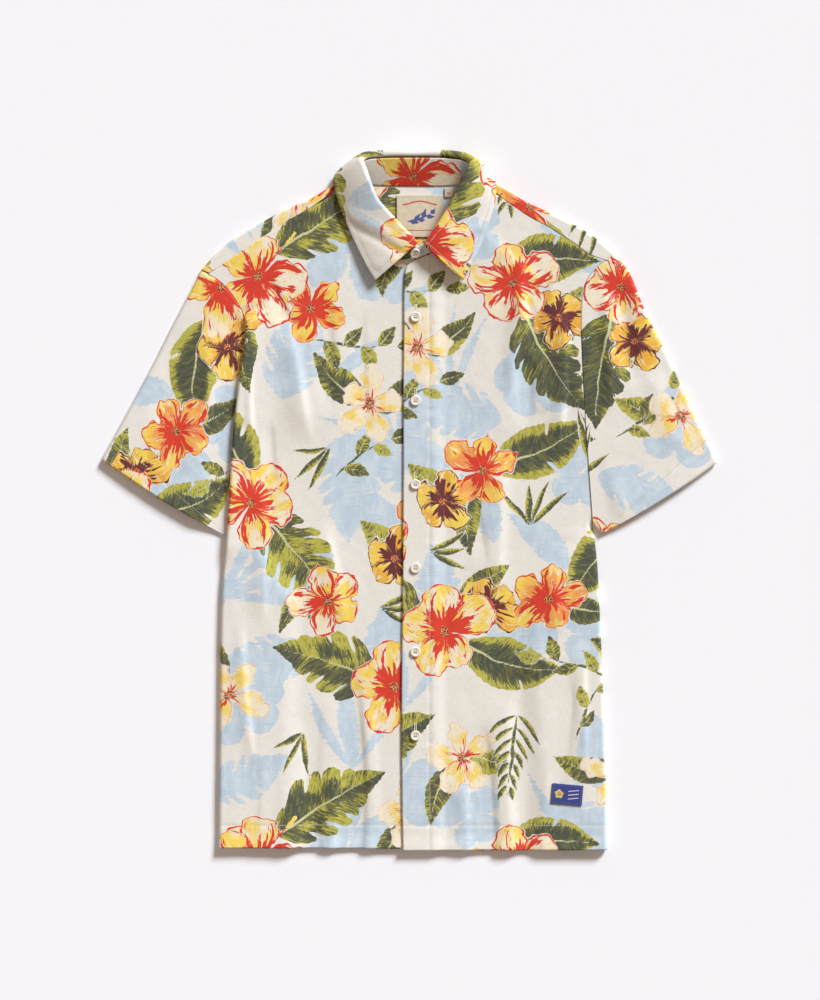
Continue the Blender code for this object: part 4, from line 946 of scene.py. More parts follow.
def makeFront(cut, node, material):
    # Rows from the placket edge out to the side, where the margin rolls under. The seam
    # lines are the hem's and, on the left front, the placket's, whichever is nearer.
    table = np.array(cut["rows"], float)
    middle = (table[:, 0:2] + table[:, 2:4]) / 2
    rows = fineRows(cut["rows"], middle, fine, 7)
    side = cut["side"]
    width = np.abs(table[:, 2] - table[:, 0]).max()
    mainSteps = 2 * round(width / fine / 2)
    grid, cloth = panelGrid(rows, lambda x, y: frontHeight(x, y, side), mainSteps,
                            rollSteps=10, marginSteps=16)
    x, y = cloth[..., 0], cloth[..., 1]
    hem, edge = y - body["hemLine"], x - body["placketLine"]
    atHem = (np.abs(hem) < np.abs(edge)) | (side < 0)
    cloth = withSeam(cloth, np.where(atHem, hem, edge), np.where(atHem, x, y))
    makePrinted(clothName(node), node, grid, cloth, material, face=side)


def makePrinted(name, node, grid, cloth, material, **shell):
    # A shell of cloth with the print's fields as they fall where the piece is cut.
    made, places = clothShell(name, grid, cloth, material, **shell)
    fields = blankPaint(onCloth(places[:, :2], clothCuts[node]))
    paintAll(fields)
    giveField(made, "cloth", fields["x"], fields["y"])
    for field in ("blue", "leaf", "leafGrain", "bloom", "bloomGrain", "petal", "throat", "edge"):
        giveField(made, field, fields[field])
    giveField(made, "stitch", places[:, 2:4])
    settle(made, node)


def yokeHeight(x, y):  # flat, just above the surface
    return np.full(np.shape(x), body["backLevel"])


def makeYoke(material):
    # The rows run out from the back seam, and those at a shoulder turn up and over it.
    rows = [(a, b, c, d, m, body["shoulder"], t, 0) for a, b, c, d, m, t in yokeCut["rows"]]
    table = np.array(rows)
    rows = fineRows(rows, table[:, 2:4], fine, 5)
    grid, cloth = panelGrid(rows, yokeHeight, mainSteps=70, rollSteps=10, marginSteps=10)
    makePrinted("yokeCloth", "yoke", grid, withSeam(cloth), material)


# y margin turned inset, hem to underarm: where each row stops short of the laid side.
backCut = {
    "step": 3.4, "topY": 237.5, "topX": 192.0,
    "rows": [(-381, 56, 1, 3), (-330, 56, 1, 3), (-270, 56, 1, 3), (-210, 56, 1, 3),
             (-155, 56, 1, 3), (-118, 50, 1, 3), (-104, 3, 1, 3), (-97, 0.5, 0.5, 3),
             (-82, 0, 0, 7), (-66, 0, 0, 11), (-56, 0, 0, 16), (-42, 0, 0, 18)],
}


def makeBack(material):
    # Both halves of each row run out from the middle; below the sleeves they turn under.
    level, top = body["marginLevel"], backCut["topY"]
    halves = []
    for side in (-1, 1):
        rows = [(0, y, side * (sideEdge(y, side) - inset), y, margin, level, turned, 0)
                for y, margin, turned, inset in backCut["rows"]]
        hole = backArmhole(side, 60)
        for x, y in hole[hole[:, 1] < yokeCut["seam"] - 1.5][::6]:
            rows.append((0, y, x - side * 1.2, y, 0, level, 0, 0))
        rows.append((0, top, side * backCut["topX"], top, 0, level, 0, 0))
        outerY = np.array(rows, float)[:, 3]
        fineTable = fineRows(rows, np.stack([0 * outerY, outerY], 1), backCut["step"], 6)
        halves.append(panelGrid(fineTable, backHeight, mainSteps=60, rollSteps=8, marginSteps=14))
    grid = np.hstack([halves[0][0][:, ::-1], halves[1][0][:, 1:]])
    cloth = np.hstack([halves[0][1][:, ::-1], halves[1][1][:, 1:]])
    cloth = withSeam(cloth, cloth[..., 1] - body["hemLine"], cloth[..., 0])
    makePrinted("backCloth", "back", grid, cloth, material, face=-1)


sleeves = {
    "leftOuter": [(225, 270), (241, 254), (259, 207), (282, 162), (310, 100), (338, 41)],
    "rightOuter": [(-229, 251), (-236, 237), (-256, 199), (-282, 147), (-316, 84), (-338, 44)],
    "leftCuff": (211.0, -37.0), "rightCuff": (-200.5, -40.0), "bow": 3.0, "gap": 0.25,
    "lift": 2.4, "rest": 7.0, "rise": 30.0, "folded": 3.0, "roll": 6, "hem": 24.0,
    "length": 230.0, "step": fine * 1.05, "run": 290.0, "taper": 0.15, "folds": [
        (214, 236, 222, 90, 8, 2.6), (232, 244, 246, 120, 9, -2.2),
        (204, 190, 206, 60, 8, -1.8), (206, 60, 236, -30, 10, 1.6), (262, 150, 300, 40, 13, 1.2),
        (-222, 190, -216, 60, 9, 1.8), (-226, 110, -246, 20, 12, 2.0),
        (-244, 190, -280, 70, 13, -1.4), (-208, 20, -214, -40, 9, 1.4)],
}


def outward(points, distance):  # moves a plan run sideways, away from the body's middle
    run = unit(np.gradient(points, axis=0))
    normal = np.stack([run[:, 1], -run[:, 0]], 1)
    return points + normal * distance * np.sign((normal * points).sum(1).mean())


def patch(nearEdge, farEdge, inner, outer):  # a blend between four edges, less its corners
    u = shares(nearEdge)[None, :, None]
    v = np.linspace(0, 1, len(outer))[:, None, None]
    corner = ((1 - v) * ((1 - u) * nearEdge[0] + u * nearEdge[-1])
              + v * ((1 - u) * farEdge[0] + u * farEdge[-1]))
    return ((1 - v) * nearEdge + v * farEdge
            + (1 - u) * inner[:, None] + u * outer[:, None] - corner)


def sleeveHeights(share, along, plan, side):
    # The lower and upper layers: level on the surface, lifted between the cuff's ends,
    # and let down under the front's folded edge where one lies over the sleeve.
    x, y = plan[..., 0], plan[..., 1]
    lift = sleeves["lift"] * along**2 * np.sin(np.pi * (0.12 + 0.76 * share))
    edge = sideEdge(np.clip(y, -385, 190), side)
    away = smoothStep((np.abs(x) - edge - sleeves["rest"]) / sleeves["rise"])
    if side > 0:
        atBody = np.full(x.shape, body["shoulder"])
    else:
        hidden = smoothStep((body["foldTop"] - y) / 20.0)
        atBody = body["shoulder"] + (sleeves["folded"] - body["shoulder"]) * hidden
    upper = atBody + (body["shoulder"] - atBody) * away
    relief = wrinkles(x + 300, y) * 1.3 + sleeveFolds(x, y)
    return body["backLevel"] + lift * away, upper + (lift + relief) * away


def sleeveFolds(x, y):  # soft ridges and troughs, each a bell across a line
    total = np.zeros(np.shape(x))
    for *line, width, height in sleeves["folds"]:
        along, across, length = byLine(x, y, *line)
        fade = smoothStep(along / 30) * smoothStep((length - along) / 40)
        total += height * fade * np.exp(-((across / width) ** 2))
    return total


def makeSleeve(side, node, material):
    # A flattened tube: rings from the armhole to the cuff, each of an upper layer, a roll
    # at the outer fold, a lower layer and a roll at the underarm.
    outerLine = np.array(sleeves["leftOuter" if side > 0 else "rightOuter"], float)
    cuffEnd = np.array(sleeves["leftCuff" if side > 0 else "rightCuff"])
    hole = armhole(side)
    count = len(hole)
    ringCount = 2 * round(sleeves["run"] / fine / 2) + 1
    t = np.linspace(0, 1, ringCount)
    layers = []
    for edgeLine in (hole, backArmhole(side, count)):
        edgeLine = outward(edgeLine, sleeves["gap"])
        outer = blurred(evenly(outerLine, t), 6)
        outer[0] = edgeLine[-1]
        outer = blurred(outer, 2)
        inner = evenly(np.array([edgeLine[0], cuffEnd]), t)
        u = shares(edgeLine)
        run = outer[-1] - inner[-1]
        square = np.array([run[1], -run[0]]) / np.linalg.norm(run)
        down = square * -np.sign(square[1])
        bow = 4 * sleeves["bow"] * u * (1 - u)
        cuff = inner[-1] + np.outer(u, run) + np.outer(bow, down)
        layers.append(patch(edgeLine, cuff, inner, outer))
    share = np.broadcast_to(np.linspace(0, 1, count), (ringCount, count))
    lower, upper = sleeveHeights(share, t[:, None], layers[0], side)
    radius = (upper - lower) / 2
    top, low = layers[0].copy(), layers[1].copy()
    for line in (top, low):
        outEnd = unit(line[:, -1] - line[:, -2]) * radius[:, -1:]
        inEnd = unit(line[:, 0] - line[:, 1]) * radius[:, :1]
        weight, taper = np.linspace(0, 1, count)[None, :, None], sleeves["taper"]
        line -= outEnd[:, None] * smoothStep((weight - 1 + taper) / taper)
        line -= inEnd[:, None] * smoothStep((taper - weight) / taper)
    topPoints, lowPoints = np.dstack([top, upper]), np.dstack([low, lower])
    rollOut = halfRound(topPoints[:, -1], lowPoints[:, -1], topPoints[:, -1] - topPoints[:, -2])
    rollIn = halfRound(lowPoints[:, 0], topPoints[:, 0], topPoints[:, 0] - topPoints[:, 1])
    grid = np.concatenate([topPoints, rollOut, lowPoints[:, ::-1], rollIn], axis=1)
    # The cloth place goes on past the outer fold as if unrolled.
    edgePlace = layers[0][:, -1:]
    unrolled = edgePlace + (edgePlace - low[:, ::-1])
    rollPlace = edgePlace + np.zeros((1, rollOut.shape[1], 1))
    endPlace = unrolled[:, -1:] + np.zeros((1, rollIn.shape[1], 1))
    cloth = np.concatenate([layers[0], rollPlace, unrolled, endPlace], axis=1)
    if grid.shape[1] % 2:
        grid, cloth = (np.delete(points, count // 2, axis=1) for points in (grid, cloth))
    hem = (1 - t[:, None]) * sleeves["length"] - sleeves["hem"]
    grid[..., 2] += seamRelief(hem, cloth[..., 0], 8) * (grid[..., 2] > 3.5)
    cloth = withSeam(cloth, hem, cloth[..., 0])
    makePrinted(clothName(node), node, grid, cloth, material, face=side, around=True)


def halfRound(start, end, direction):  # points of a half turn between two layers
    ahead = unit(direction * np.array([1.0, 1.0, 0.0]))
    radius = np.abs(start[:, 2] - end[:, 2])[:, None] / 2
    points = []
    for angle in np.linspace(0, np.pi, sleeves["roll"] + 1)[1:-1]:
        share = (1 - np.cos(angle)) / 2
        points.append(start * (1 - share) + end * share + ahead * radius * np.sin(angle))
    return np.stack(points, 1)


# Neck seam x y z, top of the stand x y z, free edge x y z, and the roll's radius, from
# the wearer's right front end round the neck to the left one.
collarCut = {
    "sections": [
        (-7, 269, 4.8, 8, 281, 12, -37, 241, 12, 2.8),
        (-28, 281.5, 5.2, -8, 297, 13.5, -47, 257, 11, 2.8),
        (-46, 297, 5.6, -22, 312, 15, -58, 279, 10, 2.8),
        (-60, 312, 6.2, -37, 329, 16, -68, 302, 9.5, 3.0),
        (-69, 328, 6.6, -44, 346, 17, -76, 322, 9.5, 3.2),
        (-71, 342, 5.6, -48, 359, 17, -81, 340, 9.0, 3.4),
        (-66, 351, 3.0, -51, 369, 16, -83, 352, 7.5, 3.6),
        (-52, 348, 1.8, -46, 375, 14.5, -74, 362, 4.0, 4.0),
        (-34, 346, 1.2, -34, 377, 13, -44, 358, 1.9, 4.6),
        (-14, 345.4, 1.2, -14, 377.8, 12.5, -18, 356, 1.7, 5.0),
        (5, 345.2, 1.2, 5, 377.8, 12.5, 5, 356, 1.7, 5.0),
        (24, 345.2, 1.2, 24, 377.8, 12.5, 28, 356, 1.7, 5.0),
        (44, 345.8, 1.2, 45, 377, 13, 54, 358, 1.9, 4.6),
        (62, 348.2, 1.8, 60, 374, 14.5, 84, 362, 4.0, 4.0),
        (75, 354, 3.0, 66, 367, 16, 92, 354, 7.5, 3.6),
        (81, 346, 5.6, 63, 357, 17, 95, 340, 9.0, 3.4),
        (77, 328, 6.6, 56, 342, 17, 92, 320, 9.5, 3.2),
        (66, 306, 6.4, 46, 323, 16, 85, 298, 9.5, 3.0),
        (51, 288.5, 6.6, 34, 303, 15, 76, 274, 10, 2.8),
        (33, 275, 6.9, 19, 281, 13.5, 59, 241, 12, 2.8)],
    "stations": 301, "rollSteps": 12, "fallSteps": 44, "sag": 1.5, "drop": 1.0,
    "standDrop": 3.0, "standSteps": 22, "stitch": 6.0,
    "dents": [(-46, 303, 0.5, 8, 0.9), (-46, 291, 0.55, 6, -1.3),
              (55, 290, -0.4, 10, 0.9), (50, 275, -0.5, 7, -0.7)],
    "rightEnd": [(14, 266.8, 4.4, 17, 274, 7.5)],
    "leftEnd": [(12, 267.6, 6.9, 8, 277, 12.3), (-9, 263.8, 6.9, -5, 271, 11)],
}


def smoothRows(table, count):  # a cubic through the rows, evenly spaced in the row number
    values = np.array(table, float)
    padded = np.vstack([2 * values[0] - values[1], values, 2 * values[-1] - values[-2]])
    places = np.linspace(0.0, len(values) - 1.0, count)
    index = np.minimum(places.astype(int), len(values) - 2)
    t = (places - index)[:, None]
    a, b, c, d = (padded[index + k] for k in range(4))
    return 0.5 * (2 * b + (c - a) * t + (2 * a - 5 * b + 4 * c - d) * t**2
                  + (3 * b - a - 3 * c + d) * t**3)


def makeCollar(material):
    # Each section rises past the stand, rolls on an arc about a centre one radius out
    # from the stand's top, and leaves it on the tangent to its edge, sagging a little.
    cut = collarCut
    rows = smoothRows(cut["sections"], cut["stations"])
    seam, top, edge, radius = rows[:, 0:3], rows[:, 3:6], rows[:, 6:9], rows[:, 9:10]
    rise = unit(top - seam)
    reach = edge - top
    down = (reach * rise).sum(1, keepdims=True)
    out = unit(reach - rise * down)
    side = (reach * out).sum(1, keepdims=True) - radius
    touch = np.arctan2(down, side) + np.arccos(np.minimum(1, radius / np.hypot(side, down)))
    share = np.linspace(0, 1, cut["rollSteps"] + 1)
    angles = (np.pi + (touch - np.pi) * share)[..., None]
    centre = top + out * radius
    arc = (centre[:, None] + radius[:, None] * np.cos(angles) * out[:, None]
           + radius[:, None] * np.sin(angles) * rise[:, None])
    t = np.linspace(0, 1, cut["fallSteps"] + 1)[1:, None]
    last = arc[:, -1:]
    bulge = unit(arc[:, -1] - centre)[:, None] * cut["sag"]
    line = last + t * (edge[:, None] - last) + 4 * t * (1 - t) * bulge
    grid = np.concatenate([(top - rise * cut["drop"])[:, None], arc, line], axis=1)
    x, y = grid[..., 0], grid[..., 1]
    # Each dent or ridge is a bell across a leaning line; small wrinkles are added.
    lift = sum(height * np.exp(-(((x - dentX) * lean + (y - dentY)) / width) ** 2)
               for dentX, dentY, lean, width, height in cut["dents"])
    lift = lift * smoothStep((335 - y) / 30)
    inBody = smoothStep((np.arange(grid.shape[1]) - 14) / 12) * smoothStep(
        (grid.shape[1] - 1 - np.arange(grid.shape[1])) / 10)
    grid[..., 2] += (lift + 0.5 * wrinkles(x + 90, y)) * inBody
    if grid.shape[1] % 2 == 0:
        grid, inBody = np.delete(grid, 1, axis=1), np.delete(inBody, 1)
    fromEdge = np.linalg.norm(np.diff(grid, axis=1), axis=2)
    fromEdge = np.hstack([np.cumsum(fromEdge[:, ::-1], 1)[:, ::-1], np.zeros((len(grid), 1))])
    rowRun = runLength(grid[:, -1])
    fromEnd = np.minimum(rowRun, rowRun[-1] - rowRun)[:, None] + 0 * fromEdge
    edge = np.minimum(fromEdge, fromEnd) - cut["stitch"]
    along = np.where(fromEdge < fromEnd, rowRun[:, None], fromEdge)
    grid[..., 2] += 0.7 * seamRelief(edge, along, 7) * inBody
    cloth = withSeam(grid[..., :2].copy(), edge, along)
    makePrinted("collarCloth", "collar", grid, cloth, material, face=-1, wall=1.4, lift=0.8)


def makeStand(material):
    # A band from the neck seam up to just under the roll, its left end over its right.
    cut = collarCut
    rows = smoothRows(cut["sections"], cut["stations"])
    seam, top = rows[:, 0:3], rows[:, 3:6]
    top = top - unit(top - seam) * cut["standDrop"]
    first, last = np.array(cut["rightEnd"], float), np.array(cut["leftEnd"], float)
    ends = smoothRows(np.hstack([seam, top])[-24::8].tolist() + last.tolist(), 61)
    table = np.vstack([first, np.hstack([seam, top])[:-8], ends[-44:]])
    spots = table[:, 0:3]
    rows = fineRows(table, spots, fine, 2.5)
    t = np.linspace(0, 1, cut["standSteps"] + 1)[None, :, None]
    grid = (1 - t) * rows[:, None, 0:3] + t * rows[:, None, 3:6]
    grid[..., 2] += 0.5 * wrinkles(grid[..., 0], grid[..., 1]) * np.sin(np.pi * t[..., 0])
    cloth = withSeam(grid[..., :2].copy())
    makePrinted("standCloth", "collar_stand", grid, cloth, material, face=-1, wall=1.2)


# Size, turn and finish of each small woven piece, how it lies on what is under it, and the
# inks of its ground, first motif, second motif and edge stitches.
trims = {
    "neck_label": {"size": (51.0, 46.0), "turn": 0.0, "slot": "cream_label"},
    "size_tab_1": {"size": (9.0, 10.0), "turn": 0.0, "slot": "cream_label"},
    "size_tab_2": {"size": (9.0, 10.0), "turn": 0.0, "slot": "cream_label"},
    "hem_patch": {"size": (34.0, 22.0), "turn": -5.0, "slot": "blue_patch"},
    "step": 0.55, "wall": 0.7, "lift": 0.35, "stitch": 1.4, "air": 1.0,
    "yokeTop": 2.0, "ripple": 0.12, "frontLift": 0.6,
    "tapeInks": (rgb(222, 208, 180), rgb(196, 62, 48), rgb(74, 84, 140), rgb(226, 214, 190)),
    "badgeInks": (rgb(44, 62, 136), rgb(206, 196, 190), rgb(214, 182, 96), rgb(60, 78, 150)),
}


def onYoke(x, y):  # just above the yoke, with a slight ripple
    return trims["yokeTop"] + trims["ripple"] * np.sin(x / 5.0)


def onLeftFront(x, y):  # a little above the front's shown side
    return frontHeight(x, y, 1) + trims["frontLift"] + trims["air"]


def labelMotif(fields):  # a small leafy sprig between a red wave and a red line
    u, v = fields["x"], fields["y"]
    paintSprig(fields, "blue", -14.0, -6.0, 8, 27.0, 22, 5, 9.5, 4)
    wave = 0.75 - np.abs(v - 14.5 - 1.8 * np.cos(u / 6.5))
    wave = np.where(np.abs(u) < 19, wave, -9.0)
    line = np.where(np.abs(u) < 14, 0.5 - np.abs(v + 15.5), -9.0)
    fields["first"] = np.maximum(wave, line)


def patchMotif(fields):  # a flower of five round petals and three plain slanted lines
    u, v = fields["x"], fields["y"]
    spots = [cosSin(18 + 72 * k) for k in range(5)]
    petals = [2.1 - np.hypot(u + 9 - 2.9 * cos, v - 2.9 * sin) for cos, sin in spots]
    ring = np.abs(np.hypot(u + 9, v) - 1.2) - 0.35
    fields["blue"] = np.minimum(np.maximum.reduce(petals + [2.6 - np.hypot(u + 9, v)]), ring)
    lines = [0.55 - np.abs(v - level - 0.16 * u) for level in (3.6, -0.6, -4.8)]
    fields["first"] = np.where((u > 0.5) & (u < 13), np.maximum.reduce(lines), -9.0)


def tabMotif(fields):  # one short bar
    u, v = fields["x"], fields["y"]
    fields["first"] = np.where(np.abs(u) < 2.4, 0.6 - np.abs(v + 0.5), -9.0)


def makeTrim(node, name, heightAt, motif, material):  # a thin shell laid on the cloth beneath
    cut = trims[node]
    low, high = boxOf(node)
    centre, (cos, sin) = (low + high) / 2, cosSin(cut["turn"])
    across, up = (2 * round(size / trims["step"] / 2) + 1 for size in cut["size"])
    u = np.linspace(-0.5, 0.5, across)[None, :] * cut["size"][0] + np.zeros((up, 1))
    v = np.linspace(-0.5, 0.5, up)[:, None] * cut["size"][1] + np.zeros((1, across))
    x, y = centre[0] + u * cos - v * sin, centre[1] + u * sin + v * cos
    grid = np.dstack([x, y, heightAt(x, y)])
    fromSide = np.minimum(cut["size"][0] / 2 - np.abs(u), cut["size"][1] / 2 - np.abs(v))
    cloth = withSeam(np.dstack([u, v]), fromSide - trims["stitch"], u + v)
    made, places = clothShell(name, grid, cloth, material, wall=trims["wall"], lift=trims["lift"])
    fields = blankPaint(places[:, :2], 0.2)
    motif(fields)
    giveField(made, "cloth", places[:, :2])
    giveField(made, "stitch", places[:, 2:4])
    giveField(made, "motif", fields["first"], fields["blue"])
    return settle(made, node)


button = {
    "radius": 5.6, "rim": 4.5, "dish": 3.0, "rimHeight": 0.9, "dishHeight": 0.5, "foot": -1.1,
    "holeRadius": 0.72, "holeSpot": 1.5, "holeDepth": 0.9, "spokes": 64, "ringStep": 0.22,
    "thread": 0.3, "archRise": 0.42, "archDrop": 1.3, "collarTilt": (29.0, 5.0),
}
buttonhole = {
    "length": 15.5, "width": 3.6, "above": 6.2, "welt": 0.34, "bar": 1.15, "slot": 0.16,
    "sink": 0.1, "wall": 0.7, "across": 19, "up": 61, "nearX": 3.0, "nearY": 9.0, "skin": 1.0,
}


def makeButtonhole(count, material):
    # A narrow patch of satin stitch on the plane through the cloth beneath it: two round
    # welts beside a slot, and a bar at each end.
    cut = buttonhole
    low, high = boxOf(f"button_{count}")
    middle = (low + high)[:2] / 2 + (0.0, cut["above"])
    cloth = bpy.data.objects["frontLeftCloth"].data
    spots = np.empty(len(cloth.vertices) * 3)
    cloth.vertices.foreach_get("co", spots)
    spots = spots.reshape(-1, 3) / mm
    away = np.abs(spots[:, :2] - middle)
    spots = spots[(away[:, 0] < cut["nearX"]) & (away[:, 1] < cut["nearY"])]
    spots = spots[spots[:, 2] > spots[:, 2].max() - cut["skin"]]
    flat = np.column_stack([spots[:, :2] - middle, np.ones(len(spots))])
    slope = np.linalg.lstsq(flat, spots[:, 2], rcond=None)[0]
    s, t = np.meshgrid(np.linspace(-1, 1, cut["across"]), np.linspace(-1, 1, cut["up"]))
    end = smoothStep((np.abs(t) - 0.88) / 0.05)
    narrow = np.sqrt(np.clip(1 - np.clip((np.abs(t) - 0.94) / 0.06, 0, 1) ** 2 * 0.5, 0, 1))
    x, y = s * narrow * cut["width"] / 2, t * cut["length"] / 2
    slot = smoothStep((cut["slot"] - np.abs(s)) / 0.1 + 0.5) * (1 - end)
    welt = np.sin(np.pi * np.clip(np.abs(s), 0, 1)) ** 0.6 * (1 - end)
    bar = np.sqrt(np.clip(1 - s**2, 0, 1)) * end * cut["bar"]
    height = slope[0] * x + slope[1] * y + slope[2] + cut["welt"] * (welt + bar) - cut["sink"]
    grid = np.dstack([x + middle[0], y + middle[1], height])
    made, places = clothShell(f"buttonhole{count}Thread", grid, np.dstack([x, y, slot]), material,
                              wall=cut["wall"], lift=0.0)
    giveField(made, "cloth", places[:, :2])
    giveField(made, "parts", places[:, 2], np.zeros(len(places)))
    return settle(made)


def buttonHeight(r, angle):  # a dish inside a rounded rim, with four wells
    cut = button
    height = cut["dishHeight"] + (cut["rimHeight"] - cut["dishHeight"]) * smoothStep(
        (r - cut["dish"]) / (cut["rim"] - cut["dish"]))
    fall = np.clip((r - cut["rim"]) / (cut["radius"] - cut["rim"]), 0, 1)
    height = height - cut["rimHeight"] * (1 - np.sqrt(np.maximum(1 - fall**2, 0)))
    well = np.zeros(np.shape(r + angle))
    for quarter in range(4):
        cos, sin = cosSin(45 + 90 * quarter)
        away = np.hypot(r * np.cos(angle) - cut["holeSpot"] * cos,
                        r * np.sin(angle) - cut["holeSpot"] * sin)
        well = np.maximum(well, smoothStep((cut["holeRadius"] + 0.12 - away) / 0.24))
    return height - cut["holeDepth"] * well, well


def ringFaces(rings, sides, flip=False):  # quads between rings of as many points each
    spots = np.arange(rings * sides).reshape(rings, sides)
    after = np.roll(spots, -1, axis=1)
    corners = [spots[:-1], after[:-1], after[1:], spots[1:]]
    order = (0, 3, 2, 1) if flip else (0, 1, 2, 3)
    faces = np.stack([corners[k] for k in order], -1).reshape(-1, 4).tolist()
    return spots, after, faces


def tube(path, radius, sides=8):  # rings round a path, closed at both ends
    ahead = unit(np.gradient(path, axis=0))
    side = unit(np.cross(ahead, np.array([0.3, 1.0, 0.2])))
    other = np.cross(ahead, side)
    angle = np.linspace(0, 2 * np.pi, sides, endpoint=False)[None, :, None]
    rings = path[:, None] + radius * (np.cos(angle) * side[:, None] + np.sin(angle) * other[:, None])
    spots, _, faces = ringFaces(len(path), sides)
    faces += [spots[0, ::-1].tolist(), spots[-1].tolist()]
    return rings.reshape(-1, 3), faces


def makeButton(node, tilt, material):
    # Rings from the top's middle out over the rim to the middle of the flat foot.
    cut = button
    low, high = boxOf(node)
    rim = np.sin(np.linspace(0, np.pi / 2, 9))
    out = np.concatenate([np.arange(0.2, cut["rim"], cut["ringStep"]),
                          cut["rim"] + (cut["radius"] - cut["rim"]) * rim])
    angle = np.linspace(0, 2 * np.pi, cut["spokes"], endpoint=False)
    height, well = buttonHeight(out[:, None], angle[None, :])
    foot = np.array([(cut["radius"] - 0.05, -0.45), (cut["radius"] - 0.35, -0.9),
                     (cut["radius"] - 0.9, cut["foot"]), (2.0, cut["foot"])])
    radii = np.concatenate([out, foot[:, 0]])[:, None]
    height = np.vstack([height, foot[:, 1:] + 0 * angle[None, :]])
    well = np.vstack([well, np.zeros((len(foot), len(angle)))])
    rings = np.dstack([radii * np.cos(angle), radii * np.sin(angle), height])
    spots, after, faces = ringFaces(*rings.shape[:2], flip=True)
    top, bottom = spots.size, spots.size + 1
    faces += [[top, a, b] for a, b in zip(spots[0], after[0])]
    faces += [[bottom, b, a] for a, b in zip(spots[-1], after[-1])]
    points = np.vstack([rings.reshape(-1, 3), [(0, 0, cut["dishHeight"]), (0, 0, cut["foot"])]])
    parts = np.column_stack([np.append(well.ravel(), [0, 0]), np.zeros((len(points), 2))])
    for side in (-1, 1):  # two strands of thread, each an arch from well to well
        reach = np.linspace(-1, 1, 15)
        spot = cut["holeSpot"] * cosSin(45)[0]
        arch = cut["dishHeight"] + cut["archRise"] - cut["archDrop"] * np.abs(reach) ** 5
        path = np.column_stack([side * spot + 0.1 * reach, spot * reach, arch])
        strand, strandFaces = tube(path, cut["thread"])
        faces += [[k + len(points) for k in face] for face in strandFaces]
        points = np.vstack([points, strand])
        parts = np.vstack([parts, np.tile([0.0, 1.0, 0.0], (len(strand), 1))])
    (cosA, sinA), (cosB, sinB) = (cosSin(value) for value in tilt)
    turnX = np.array([[1, 0, 0], [0, cosA, -sinA], [0, sinA, cosA]])
    turnY = np.array([[cosB, 0, sinB], [0, 1, 0], [-sinB, 0, cosB]])
    points = points @ (turnY @ turnX).T + (low + high) / 2
    made = addMesh(node + "Resin", points, faces, material)
    giveField(made, "parts", parts)
    return settle(made, node)


# Lengths in metres and angles in degrees; fieldHeight is what the camera sees at the floor.
studio = {
    "floor": 9.0, "wall": 2.4, "sides": 96, "floorColour": (245, 244, 246),
    "wallColour": (206, 204, 208), "distance": 3.0, "fieldHeight": 1.1, "clip": 20.0,
    "centre": (0.00066, 0.0), "sunHeight": 27.0, "sunWay": 54.0, "sunSpread": 17.0,
    "sunStrength": 5.36, "sunColour": (240, 247, 255), "ambient": 0.34,
    "airColour": (255, 231, 211),
}


def studioPaint(name, colour):  # matt paint with hardly any gloss
    return Nodes(name).finish({"Base Color": rgb(*colour), "Roughness": 0.9,
                               "Specular IOR Level": 0.1})


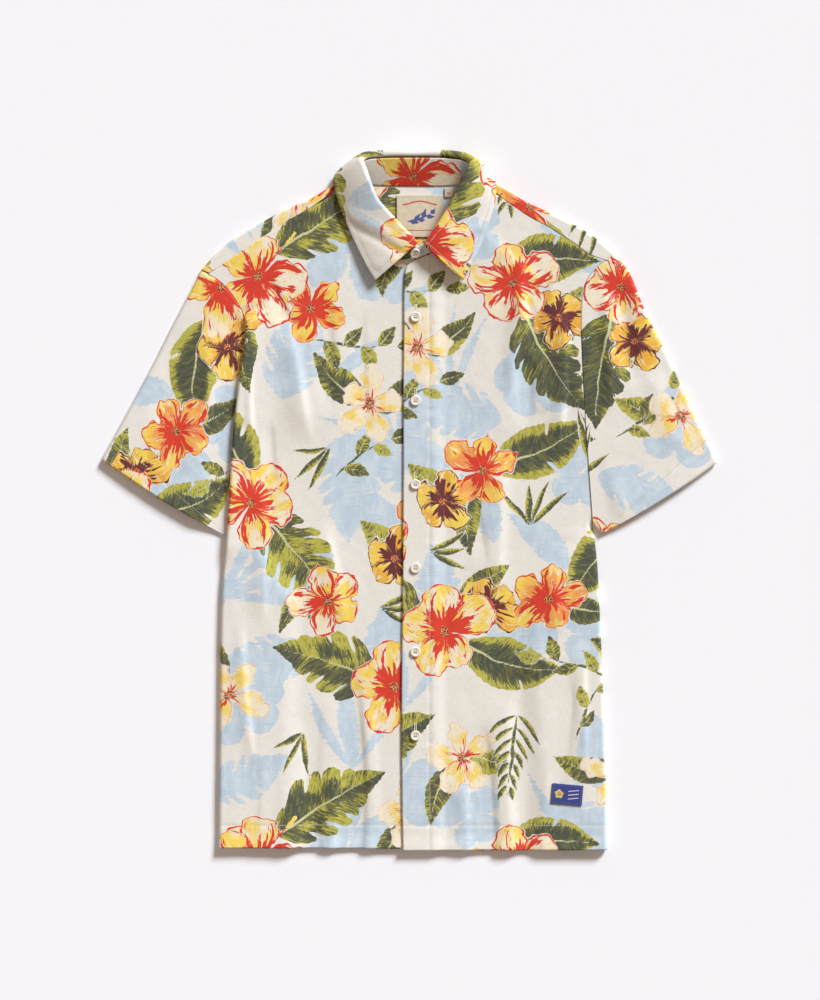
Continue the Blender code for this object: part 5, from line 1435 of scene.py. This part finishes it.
def makeStudio():  # floor, wall, air, one soft sun, and the camera straight above
    # A round floor, and round it a low wall that curves up from it and casts no shadow.
    sides = studio["sides"]
    angle = np.linspace(0, 2 * np.pi, sides, endpoint=False)
    ring = np.column_stack([np.cos(angle), np.sin(angle), 0 * angle]) * studio["floor"] / mm
    floor = addMesh("floor", ring, [list(range(sides))],
                    studioPaint("floor_paint", studio["floorColour"]))
    bend = np.linspace(0, np.pi / 2, 15)[:, None]
    out = studio["floor"] + studio["wall"] * np.sin(bend)
    up = studio["wall"] * (1 - np.cos(bend)) + 0 * angle
    rings = np.dstack([out * np.cos(angle), out * np.sin(angle), up]) / mm
    faces = ringFaces(len(rings), sides, flip=True)[2]
    wall = addMesh("studioWall", rings.reshape(-1, 3), faces,
                   studioPaint("wall_paint", studio["wallColour"]))
    wall.visible_shadow = False
    world = bpy.data.worlds.new("studioAir")
    world.use_nodes = True
    sky = world.node_tree.nodes["Background"]
    sky.inputs[0].default_value = (*rgb(*studio["airColour"]), 1.0)
    sky.inputs[1].default_value = studio["ambient"]
    bpy.context.scene.world = world
    lamp = bpy.data.lights.new("key", "SUN")
    lamp.angle = math.radians(studio["sunSpread"])
    lamp.energy = studio["sunStrength"]
    lamp.color = rgb(*studio["sunColour"])
    key = bpy.data.objects.new("key", lamp)
    key.rotation_euler = (math.radians(90 - studio["sunHeight"]), 0.0,
                          math.radians(studio["sunWay"] + 90))
    bpy.context.collection.objects.link(key)
    lens = bpy.data.cameras.new("camera")
    lens.lens = lens.sensor_width * studio["distance"] / studio["fieldHeight"]
    lens.clip_end = studio["clip"]
    camera = bpy.data.objects.new("camera", lens)
    camera.location = (*studio["centre"], studio["distance"])
    bpy.context.collection.objects.link(camera)
    bpy.context.scene.camera = camera
    bpy.context.scene.view_settings.view_transform = "Standard"
    print("studio, sun and camera are set")


makeStudio()
printCloth = printedCloth()
makeBack(printCloth)
makeYoke(printCloth)
makeFront(rightFront, "front_right", printCloth)
makeFront(leftFront, "front_left", printCloth)
makeSleeve(1, "sleeve_left", printCloth)
makeSleeve(-1, "sleeve_right", printCloth)
makeStand(printCloth)
makeCollar(printCloth)
tape = wovenTrim("cream_woven_label", *trims["tapeInks"])
badge = wovenTrim("blue_woven_patch", *trims["badgeInks"])
label = makeTrim("neck_label", "neckLabelTape", onYoke, labelMotif, tape)
tabs = [makeTrim(f"size_tab_{k}", f"sizeTab{k}Tape", onYoke, tabMotif, tape) for k in (1, 2)]
patchPiece = makeTrim("hem_patch", "hemPatchTape", onLeftFront, patchMotif, badge)
print("cloth and trims are laid")
ivory = buttonResin()
frontButtons = [makeButton(f"button_{k}", (0.0, 0.0), ivory) for k in range(1, 7)]
silk = satinStitch()
buttonholes = [makeButtonhole(k, silk) for k in range(1, 7)]
collarButton = makeButton("button_collar", button["collarTilt"], ivory)

print("buttons and buttonholes are sewn on")
